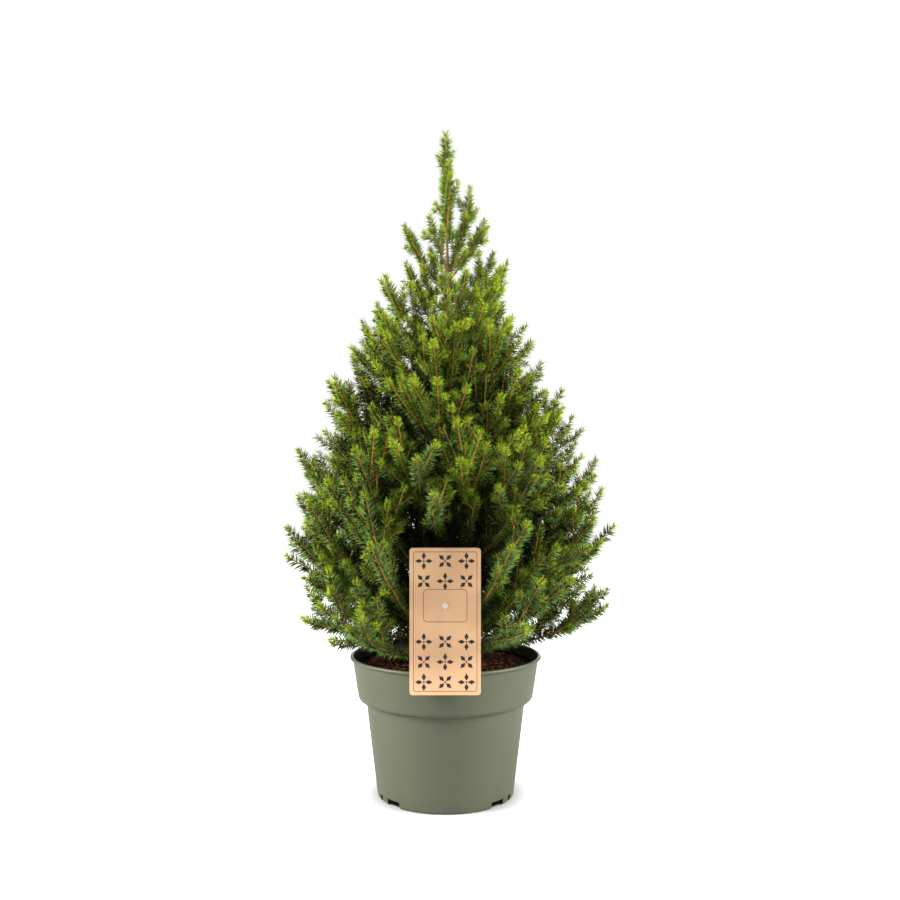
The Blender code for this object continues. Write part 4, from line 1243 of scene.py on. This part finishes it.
def frame_line(width, bottom, top, corner):
    """Vertices and faces of a thin printed line that runs round a rectangle."""
    outlines = (
        rounded_rectangle(width, bottom, top, corner, LINE_CORNER_STEPS),
        rounded_rectangle(
            width - 2.0 * BORDER_WIDTH, bottom + BORDER_WIDTH, top - BORDER_WIDTH,
            max(corner - BORDER_WIDTH, LEAST_CORNER), LINE_CORNER_STEPS,
        ),
    )
    vertices = []
    for depth in (CARD_FRONT - PRINT_HEIGHT, CARD_FRONT + PRINT_DEPTH):
        for outline in outlines:
            vertices += [(across, depth, height) for across, height in outline]
    count = len(outlines[0])
    faces = []
    for index in range(count):
        after = (index + 1) % count
        faces.append((index, after, count + after, count + index))
        faces.append((2 * count + index, 3 * count + index, 3 * count + after, 2 * count + after))
        faces.append((index, 2 * count + index, 2 * count + after, after))
        faces.append((count + index, count + after, 3 * count + after, 3 * count + index))
    return vertices, faces


def motif_places():
    """Middles of the printed motifs: straight columns, with none on the bare panel."""
    places = []
    height = CARD_TOP - CARD_BOTTOM
    for row in range(MOTIF_ROWS):
        for column in range(MOTIF_COLUMNS):
            offset = column - (MOTIF_COLUMNS - 1) / 2.0
            across = offset * CARD_WIDTH / (MOTIF_COLUMNS + COLUMN_MARGIN)
            level = CARD_BOTTOM + height * (row + ROW_FOOT) / (MOTIF_ROWS + ROW_MARGIN)
            beside = abs(across) > PANEL_WIDTH / 2.0
            apart = abs(level - STAKE_Z) > PANEL_HEIGHT / 2.0 + LOZENGE[0]
            if beside or apart:
                places.append((across, level))
    return places


def build_print(materials):
    """Plain geometric print: a border, a bare framed panel and rows of four-lozenge motifs."""
    front = CARD_FRONT - PRINT_HEIGHT
    back = CARD_FRONT + PRINT_DEPTH
    across = CARD_WIDTH - 2.0 * BORDER_INSET
    half_panel = PANEL_HEIGHT / 2.0
    solids = [
        frame_line(across, CARD_BOTTOM + BORDER_INSET, CARD_TOP - BORDER_INSET, BORDER_CORNER),
        frame_line(PANEL_WIDTH, STAKE_Z - half_panel, STAKE_Z + half_panel, PANEL_CORNER),
    ]
    for index, middle in enumerate(motif_places()):
        for quarter in range(4):
            outline = lozenge(middle, math.radians(45.0 * (index % 2) + 90.0 * quarter))
            solids.append(prism(outline, front, back))
        dot = arc(middle, SEED_DOT, 0.0, 360.0 - 360.0 / DOT_POINTS, DOT_POINTS - 1)
        solids.append(prism(dot, front, back))
    add_piece("card_print", joined(solids), materials["ink"], ["label_card"])


def build_stake(materials):
    """Frosted stake that stands in the soil, bends forward and holds the card by a button."""
    points = [Vector((0.0, STAKE_Y, SOIL_EDGE - STAKE_DEPTH)), Vector((0.0, STAKE_Y, SOIL_EDGE))]
    bend = (STAKE_Y - STAKE_BEND, STAKE_Z - STAKE_BEND)
    for depth, height in arc(bend, STAKE_BEND, 0.0, 90.0, BEND_STEPS):
        points.append(Vector((0.0, depth, height)))
    radii = [STAKE_POINT * STAKE_RADIUS] + [STAKE_RADIUS] * (len(points) - 1)
    face = CARD_FRONT - BUTTON_GAP
    crown = face - BUTTON_THICKNESS
    button = [(face, STAKE_RADIUS)]
    button += [(face - depth, share * BUTTON_RADIUS) for depth, share in BUTTON_EDGE]
    button.append((crown + BUTTON_RIM, BUTTON_RADIUS))
    for rise, share in BUTTON_CROWN:
        button.append((crown - rise * BUTTON_DOME, share * BUTTON_RADIUS))
    for depth, radius in button:
        points.append(Vector((0.0, depth, STAKE_Z)))
        radii.append(radius)
    vertices, faces = tube(points, radii, STAKE_SIDES)
    mesh = mesh_of(vertices, faces)
    mesh.set_sharp_from_angle(angle=math.radians(STAKE_CREASE))
    add_piece("clear_stake", mesh, materials["clear"], ["label_stake"])


# ---------------------------------------------------------------- trunk and limbs

def trunk_axis(height):
    """Middle of the trunk at a height: a slight lean that comes back to the middle."""
    share = (height - TRUNK_FOOT) / (CROWN_TOP - TRUNK_FOOT)
    share = max(0.0, min(1.0, share))
    across = TRUNK_LEAN * math.sin(math.pi * share) ** 2
    forward = TRUNK_SWAY * math.sin(math.tau * share) * share
    return Vector((across, forward, height))


def trunk_radius(height):
    """Radius of the trunk at a height, with the flare over its roots."""
    rise = height - TRUNK_FOOT
    share = min(1.0, max(0.0, rise / (TRUNK_TIP - TRUNK_FOOT)))
    taper = TRUNK_FOOT_RADIUS + (TRUNK_TIP_RADIUS - TRUNK_FOOT_RADIUS) * share ** TRUNK_TAPER
    return taper + ROOT_FLARE * math.exp(-rise / FLARE_HEIGHT)


def stretched_noise(place, scale, stretch):
    """Noise of a scale at a point, stretched along Z."""
    return noise.noise(Vector((place.x, place.y, stretch * place.z)) * scale)


def bark_relief(place, radius):
    """Swell of the bark at a point: upright ridges, and fine grain."""
    ridge = 1.0 - 2.0 * abs(stretched_noise(place, *BARK_RIDGES))
    grain = stretched_noise(place, *BARK_GRAIN)
    return BARK_RELIEF * (RIDGE_SHARE * ridge + (1.0 - RIDGE_SHARE) * grain - BARK_SINK)


def crown_radius(height):
    """Radius of the crown's outline at a height."""
    for (low, low_radius), (high, high_radius) in zip(CROWN_OUTLINE, CROWN_OUTLINE[1:]):
        if height <= high:
            share = max(0.0, (height - low) / (high - low))
            return low_radius + (high_radius - low_radius) * share
    return 0.0


def limb_curve(curve, share):
    """Point on a limb's curve, from the trunk at 0 to its tip at 1."""
    root, elbow, tip = curve
    rest = 1.0 - share
    return rest * rest * root + 2.0 * rest * share * elbow + share * share * tip


def lay_out_limbs():
    """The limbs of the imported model's masses, and the leader, as lines of close points."""
    limbs = []
    rng = random.Random(LIMB_SEED)
    for tier in TIERS:
        for index in range(tier.count):
            azimuth = tier.azimuth + 360.0 * index / tier.count
            azimuth += rng.uniform(-AZIMUTH_JITTER, AZIMUTH_JITTER)
            tip_height = tier.tip + rng.uniform(-TIP_JITTER, TIP_JITTER)
            root_height = tier.root + tier.climb * (index * LIMB_ORDER % tier.count)
            middle = trunk_axis(root_height)
            outward = polar(1.0, azimuth, 0.0)
            reach = crown_radius(tip_height) * rng.uniform(SHORTEST_LIMB, 1.0)
            elbow = outward * (LIMB_ELBOW * reach)
            elbow.z = root_height + tier.droop * (tip_height - root_height)
            root = middle + outward * (trunk_radius(root_height) + LIMB_CLEARANCE)
            tip = polar(reach, azimuth, tip_height)
            curve = (root, elbow, tip)
            length = (elbow - root).length + (tip - elbow).length
            steps = round(length / LIMB_STEP)
            points = [middle] + [limb_curve(curve, step / steps) for step in range(steps + 1)]
            limbs.append(Limb(f"{tier.name}_{index + 1}", tier, shortened(points, TIP_ALLOWANCE)))
    shares = [step / LEADER_STEPS for step in range(LEADER_STEPS + 1)]
    leader = [trunk_axis(blend(TRUNK_TIP - LIMB_STEP, CROWN_TOP, share)) for share in shares]
    limbs.append(Limb("leader", LEADER, shortened(leader, LEADER_ALLOWANCE)))
    return limbs


def shortened(points, length):
    """Line with a length taken off its end."""
    points = list(points)
    while length > 0.0:
        last = (points[-1] - points[-2]).length
        if last > length:
            points[-1] = points[-2] + (points[-1] - points[-2]) * (1.0 - length / last)
            return points
        points.pop()
        length -= last
    return points


# ---------------------------------------------------------------- growth of the shoots

class Room:
    """Keeps shoots apart: a grid of the places that are taken."""

    def __init__(self, cell):
        self.cell = cell
        self.taken = {}

    def key(self, point):
        """Cell of the grid that a point lies in."""
        return tuple(int(math.floor(value / self.cell)) for value in point)

    def take(self, points, owner):
        """Mark a shoot's points as taken."""
        for point in points:
            self.taken.setdefault(self.key(point), []).append((point, owner))

    def is_free(self, points, apart, parent):
        """True where each point keeps its distance from every shoot but the parent."""
        for point in points:
            x, y, z = self.key(point)
            for dx in (-1, 0, 1):
                for dy in (-1, 0, 1):
                    for dz in (-1, 0, 1):
                        for other, owner in self.taken.get((x + dx, y + dy, z + dz), ()):
                            if owner != parent and (other - point).length < apart:
                                return False
        return True


def line_length(points):
    """Length of a line of points."""
    return sum((end - start).length for start, end in zip(points, points[1:]))


def along(points, distance):
    """Point and direction at a distance along a line of points."""
    for start, end in zip(points, points[1:]):
        step = (end - start).length
        if distance <= step:
            return start + (end - start) * (distance / step), (end - start).normalized()
        distance -= step
    return points[-1].copy(), (points[-1] - points[-2]).normalized()


def sampled(points, first, spacing):
    """Points along a line at a spacing, from a first distance to its end."""
    length = line_length(points)
    count = max(1, int((length - first) / spacing))
    return [along(points, blend(first, length, step / count))[0] for step in range(count + 1)]


def fits_in_crown(point, limit):
    """True inside the crown's outline, above the rim and clear of the card and its stake."""
    floor = CROWN_FLOOR + FLOOR_RISE * max(0.0, -point.y)
    if point.z - NEEDLE_REACH < floor or point.z > CROWN_TOP - TIP_ALLOWANCE:
        return False
    if point.xy.length > limit * crown_radius(point.z) - SIDE_ALLOWANCE:
        return False
    room = NEEDLE_REACH + CARD_CLEARANCE
    beside_card = abs(point.x) > CARD_WIDTH / 2.0 + room
    above_card = point.z > CARD_TOP + room
    behind_card = point.y > CARD_Y + room
    if not (beside_card or above_card or behind_card):
        return False
    off_stake = abs(point.x) > room or point.y > STAKE_Y + room or point.z > STAKE_Z + room
    return off_stake


def turned_aside(direction, angle, roll, lift):
    """Direction at an angle from another one, rolled about it, with a slight lift."""
    side = Matrix.Rotation(math.radians(roll), 3, direction) @ side_of(direction)
    aside = direction * math.cos(math.radians(angle)) + side * math.sin(math.radians(angle))
    aside.z += lift
    return aside.normalized()


def curved_shoot(start, direction, length):
    """Middle line of a shoot that bends slightly upwards."""
    steps = max(LEAST_STEPS, round(length / LIMB_STEP))
    points = [start]
    for step in range(1, steps + 1):
        share = step / steps
        point = start + direction * (length * share)
        point.z += SHOOT_BEND * length * share * share
        points.append(point)
    return points


def opening(height):
    """How much wider apart shoots stand at a height than low in the crown."""
    share = (height - OPEN_CROWN) / (CROWN_TOP - OPEN_CROWN)
    return 1.0 + OPENING * max(0.0, share)


def try_shoot(rng, room, parent, parent_key, distance, order, roll, length):
    """Find a length and a roll at which a side shoot fits, or give None."""
    start, direction = along(parent, distance)
    limit = rng.uniform(*order.reach)
    for attempt in range(TRIES):
        turn = roll + rng.uniform(-TRY_ROLL, TRY_ROLL) * attempt
        lean = order.angle - order.rise * attempt + rng.uniform(-TRY_LEAN, TRY_LEAN)
        points = curved_shoot(start, turned_aside(direction, lean, turn, order.lift), length)
        outer = sampled(points, min(order.foot, LONGEST_FOOT * length), ROOM_SAMPLE)
        if all(fits_in_crown(point, limit) for point in outer):
            if room.is_free(outer, order.apart * opening(start.z), parent_key):
                return points
        length *= TRY_SHORTENING
        if length < order.least:
            return None
    return None


def side_shoots(rng, room, parent, order, level):
    """Shoots that one shoot bears, in a spiral from its foot to near its tip."""
    borne = []
    length = line_length(parent.points)
    distance = order.first * length + rng.uniform(0.0, order.spacing)
    first_roll = rng.uniform(0.0, 360.0)
    index = 0
    while distance < length - order.tip_free:
        roll = first_roll + GOLDEN_TURN * index + rng.uniform(-ROLL_JITTER, ROLL_JITTER)
        wanted = min(order.slope * (length - distance) + SHORTEST * order.least, order.most)
        wanted = max(wanted * rng.uniform(*LENGTH_SPREAD), order.least)
        key = parent.key + (order.angle, index)
        points = try_shoot(rng, room, parent.points, parent.key, distance, order, roll, wanted)
        if points is not None:
            room.take(sampled(points, SHOOT_FOOT, ROOM_SAMPLE), key)
            borne.append(Shoot(points, order.thick, level, key))
        depth = max(0.0, depth_in_crown(along(parent.points, distance)[0]))
        distance += order.spacing * (1.0 + depth / order.thin) * rng.uniform(*SPACING_SPREAD)
        index += 1
    return borne


def generation(room, parents, order, level, label):
    """Side shoots of every parent, each of which draws its own random numbers."""
    borne = []
    for parent in parents:
        rng = random.Random(f"{GROWTH_SEED} {label} {parent.key}")
        borne += side_shoots(rng, room, parent, order, level)
    return borne


def grow_crown(limbs):
    """Every shoot of the crown: limbs, the long shoots between them, offshoots, twigs and sprays."""
    room = Room(ROOM_CELL)
    heights = [blend(TRUNK_FOOT, TRUNK_TIP, step / TRUNK_SAMPLES) for step in range(TRUNK_SAMPLES + 1)]
    trunk = Shoot([trunk_axis(height) for height in heights], TRUNK_TIP_RADIUS, 0, ("trunk",))
    room.take(trunk.points, trunk.key)
    stems = [Shoot(limb.points, limb.tier.thick, 0, (limb.name,)) for limb in limbs]
    for stem in stems:
        room.take(sampled(stem.points, STEM_FOOT, ROOM_SAMPLE), stem.key)
    bearers = list(stems)
    for order, parents in ((WHIPS, [trunk]), (BRANCHES, stems), (INNER, [trunk])):
        bearers += generation(room, parents, order, 1, order.angle)
    branches = [shoot for shoot in bearers if shoot.order == 1]
    bearers += generation(room, branches, OFFSHOOTS, 1, "offshoots")
    twigs = generation(room, bearers, TWIGS, 2, "twigs")
    return bearers + twigs + generation(room, twigs, SPRAYS, 3, "sprays")


# ---------------------------------------------------------------- bark, shoots and needles

def build_trunk(materials):
    """Trunk with scaly bark from its flared foot to its tip under the leader."""
    steps = round((TRUNK_TIP - TRUNK_FOOT) / TRUNK_RING_STEP)
    heights = [blend(TRUNK_FOOT, TRUNK_TIP, step / steps) for step in range(steps + 1)]
    points = [trunk_axis(height) for height in heights]
    radii = [trunk_radius(height) for height in heights]
    vertices, faces = tube(points, radii, TRUNK_SECTORS, bark_relief)
    for vertex in vertices[:TRUNK_SECTORS]:
        vertex.z = TRUNK_FOOT
    add_piece("trunk_bark", mesh_of(vertices, faces), materials["bark"], ["trunk"])


def limb_radius(limb, share):
    """Radius of a limb at a share of its length."""
    return LIMB_TIP_RADIUS + (limb.tier.thick - LIMB_TIP_RADIUS) * (1.0 - share) ** LIMB_TAPER


def build_boughs(limbs, materials):
    """Older wood of the limbs with bark, out to where young shoots take over."""
    solids = []
    for limb in limbs:
        length = line_length(limb.points)
        count = round(OLD_WOOD * length / BOUGH_STEP)
        shares = [OLD_WOOD * step / count for step in range(count + 1)]
        points = [along(limb.points, share * length)[0] for share in shares]
        radii = [limb_radius(limb, share) for share in shares]
        solids.append(tube(points, radii, BOUGH_SIDES, bark_relief))
    add_piece("bough_bark", joined(solids, True), materials["bark"], BOUGH_NODES)


def build_shoots(limbs, shoots, materials):
    """Bark of the shoots: dark brown inside the crown, older wood with painted shade, young tan wood
    near its outline.
    """
    tree = shoot_tree()
    by_name = {limb.name: limb for limb in limbs}
    wood = {name: [] for name in SHOOT_SIDES}
    for shoot in shoots:
        length = line_length(shoot.points)
        if shoot.order == 0:
            count = YOUNG_WOOD_STEPS
            shares = [blend(YOUNG_WOOD, 1.0, step / count) for step in range(count + 1)]
            radii = [limb_radius(by_name[shoot.key[0]], share) for share in shares]
        else:
            count = max(LEAST_STEPS, round(length / SHOOT_STEP))
            shares = [step / count for step in range(count + 1)]
            radii = [shoot.radius * (1.0 - SHOOT_TAPER * share) for share in shares]
        points = [along(shoot.points, share * length)[0] for share in shares]
        # Painted shade in part: bark deeper in the crown than YOUNG_WOOD_DEPTH is dark brown
        young = [depth_in_crown(point) < YOUNG_WOOD_DEPTH for point in points]
        start = 0
        for index in range(1, count + 1):
            if index == count or young[index] != young[start]:
                name = "shoots_tan" if young[start] else "shoots_brown"
                wood[name].append((points[start:index + 1], radii[start:index + 1]))
                start = index
    for name, sides in SHOOT_SIDES.items():
        lines, thick = zip(*wood[name])
        mesh = lines_mesh(lines, thick=thick)
        bark = grown(tree, mesh, materials[name], {"Sides": sides, "Thickness": 1.0})
        add_piece(name, bark, None, FOLIAGE_NODES)
        bpy.data.meshes.remove(mesh)


def depth_in_crown(point):
    """How far a point lies inside the crown's outline."""
    return crown_radius(point.z) - point.xy.length


def mix_at(mixes, depth):
    """Mix of needle kinds for a depth inside the crown."""
    return next(mix for limit, mix in mixes if depth < limit)


def is_leader(shoot):
    """True for the trunk's own continuation."""
    return shoot.key == ("leader",)


def bare_length(shoot, length):
    """Length of a shoot's foot that bears no needles."""
    if shoot.order == 0:
        return length * (BARE_LEADER if is_leader(shoot) else BARE_LIMB)
    return SHOOT_FOOT


def mixes_at(height):
    """Mixes of needles for a height."""
    if height < LOW_FOLIAGE:
        return LOW_MIXES
    return TOP_MIXES if height > HIGH_CROWN else HIGH_MIXES


def deal_needles(shoots):
    """Stretches of shoot for each needle kind, with sizes, leans and the share of needles there."""
    rng = random.Random("needle kinds")
    dealt = {name: [] for name in KINDS}
    for shoot in shoots:
        length = line_length(shoot.points)
        tip = shoot.points[-1]
        # Depth in the crown picks the mix: the darker kinds deeper in are painted shade
        depth = depth_in_crown(tip) + rng.uniform(-DEPTH_JITTER, DEPTH_JITTER)
        if tip.z > HIGH_CROWN:
            depth = min(depth, rng.uniform(*HIGH_DEPTHS))
        mixes = mixes_at(tip.z + rng.uniform(-HEIGHT_JITTER, HEIGHT_JITTER))
        tip_length = min(TIP_LENGTH * rng.uniform(*TIP_SPREAD), LONGEST_TIP * length)
        grown_by = LEADER_SIZE if is_leader(shoot) else 1.0
        tip_size, body_size = [[grown_by * size for size in sizes] for sizes in (TIP_SIZE, BODY_SIZE)]
        body_end = length - tip_length
        add_stretch(dealt, mix_at(TIP_MIXES, depth), shoot, body_end, length, TIP_LEAN, tip_size)
        bare = bare_length(shoot, length)
        start = bare
        while start < body_end - SHORTEST_STRETCH:
            end = min(start + STRETCH, body_end)
            if body_end - end < STRETCH_REST * STRETCH:
                end = body_end
            leans = [blend(*BODY_LEAN, (place - bare) / (body_end - bare)) for place in (start, end)]
            middle = along(shoot.points, (start + end) / 2.0)[0]
            within = max(depth, INWARD_FADE[shoot.order] * depth_in_crown(middle))
            add_stretch(dealt, mix_at(mixes, within), shoot, start, end, leans, body_size)
            start = end
    return dealt


def add_stretch(dealt, mix, shoot, start, end, leans, sizes):
    """Add a stretch of a shoot to the lines of each kind in its mix."""
    count = max(2, round((end - start) / NEEDLE_LINE_STEP))
    shares = [step / count for step in range(count + 1)]
    points = [along(shoot.points, blend(start, end, share))[0] for share in shares]
    lean = [math.radians(blend(*leans, share)) for share in shares]
    size = [blend(*sizes, share) for share in shares]
    for name, part in mix:
        dealt[name].append((points, lean, size, [part] * (count + 1)))


def build_needles(shoots, materials):
    """Needles of every kind, each kind in as few pieces as its count allows."""
    tree = needle_tree()
    for name, stretches in deal_needles(shoots).items():
        kind = KINDS[name]
        total = sum(line_length(points) * share[0] for points, _, _, share in stretches)
        pieces = math.ceil(total / kind.spacing * NEEDLE_TRIANGLES / MOST_IN_PIECE)
        count = math.ceil(len(stretches) / pieces)
        for piece in range(pieces):
            lines, leans, sizes, shares = zip(*stretches[piece * count:(piece + 1) * count])
            mesh = lines_mesh(lines, lean=leans, size=sizes, share=shares)
            settings = {
                "Spacing": kind.spacing, "Length": kind.scale * NEEDLE_LENGTH,
                "Width": kind.scale * NEEDLE_WIDTH, "Turn": math.radians(GOLDEN_TURN),
                "Seed": NEEDLE_SEED + piece,
            }
            label = f"needles_{name}" if pieces == 1 else f"needles_{name}_{piece + 1}"
            needles = grown(tree, mesh, materials[name], settings)
            add_piece(label, needles, None, FOLIAGE_NODES)
            bpy.data.meshes.remove(mesh)


# ---------------------------------------------------------------- studio

def add_lamp(name, place, size, power, colour):
    """Soft square lamp that faces the crown."""
    light = bpy.data.lights.new(name, "AREA")
    light.shape = "SQUARE"
    light.size = size
    light.energy = power
    light.color = colour
    item = bpy.data.objects.new(name, light)
    item.location = place
    item.rotation_euler = (Vector(LIT_PLACE) - Vector(place)).to_track_quat("-Z", "Y").to_euler()
    bpy.context.scene.collection.objects.link(item)


def build_studio():
    """White floor and surroundings, soft lamps around the plant, and the camera."""
    bpy.ops.mesh.primitive_circle_add(
        vertices=FLOOR_SIDES, radius=FLOOR_RADIUS, fill_type="NGON", location=(0.0, 0.0, -FLOOR_DROP),
    )
    floor = bpy.context.object
    floor.name = "studio_floor"
    floor.data.materials.append(floor_finish())
    scene = bpy.context.scene
    world = bpy.data.worlds.new("studio")
    world.use_nodes = True
    tree = world.node_tree
    around = tree.nodes["Background"]
    fill(tree, around, Color=WHITE, Strength=AMBIENT)
    seen = add_node(tree, "ShaderNodeBackground", Color=WHITE, Strength=1.0)
    path = tree.nodes.new("ShaderNodeLightPath")
    mix = add_node(tree, "ShaderNodeMixShader", Fac=path.outputs["Is Camera Ray"])
    for socket, background in zip(mix.inputs[1:], (around, seen)):
        tree.links.new(background.outputs[0], socket)
    fill(tree, tree.nodes["World Output"], Surface=mix.outputs[0])
    scene.world = world
    for lamp in LAMPS:
        add_lamp(*lamp)
    camera = bpy.data.cameras.new("camera")
    camera.lens = CAMERA_LENS
    camera.sensor_width = CAMERA_SENSOR
    item = bpy.data.objects.new("camera", camera)
    item.location = CAMERA_PLACE
    item.rotation_euler = (math.radians(90.0), 0.0, 0.0)
    scene.collection.objects.link(item)
    scene.camera = item
    scene.view_settings.view_transform = "Standard"


def main():
    """Dress the whole plant and set it in the studio."""
    materials = make_materials()
    build_pot(materials["pot"])
    build_soil(materials)
    build_card(materials)
    build_print(materials)
    build_stake(materials)
    build_trunk(materials)
    limbs = lay_out_limbs()
    build_boughs(limbs, materials)
    shoots = grow_crown(limbs)
    build_shoots(limbs, shoots, materials)
    build_needles(shoots, materials)
    build_studio()


main()
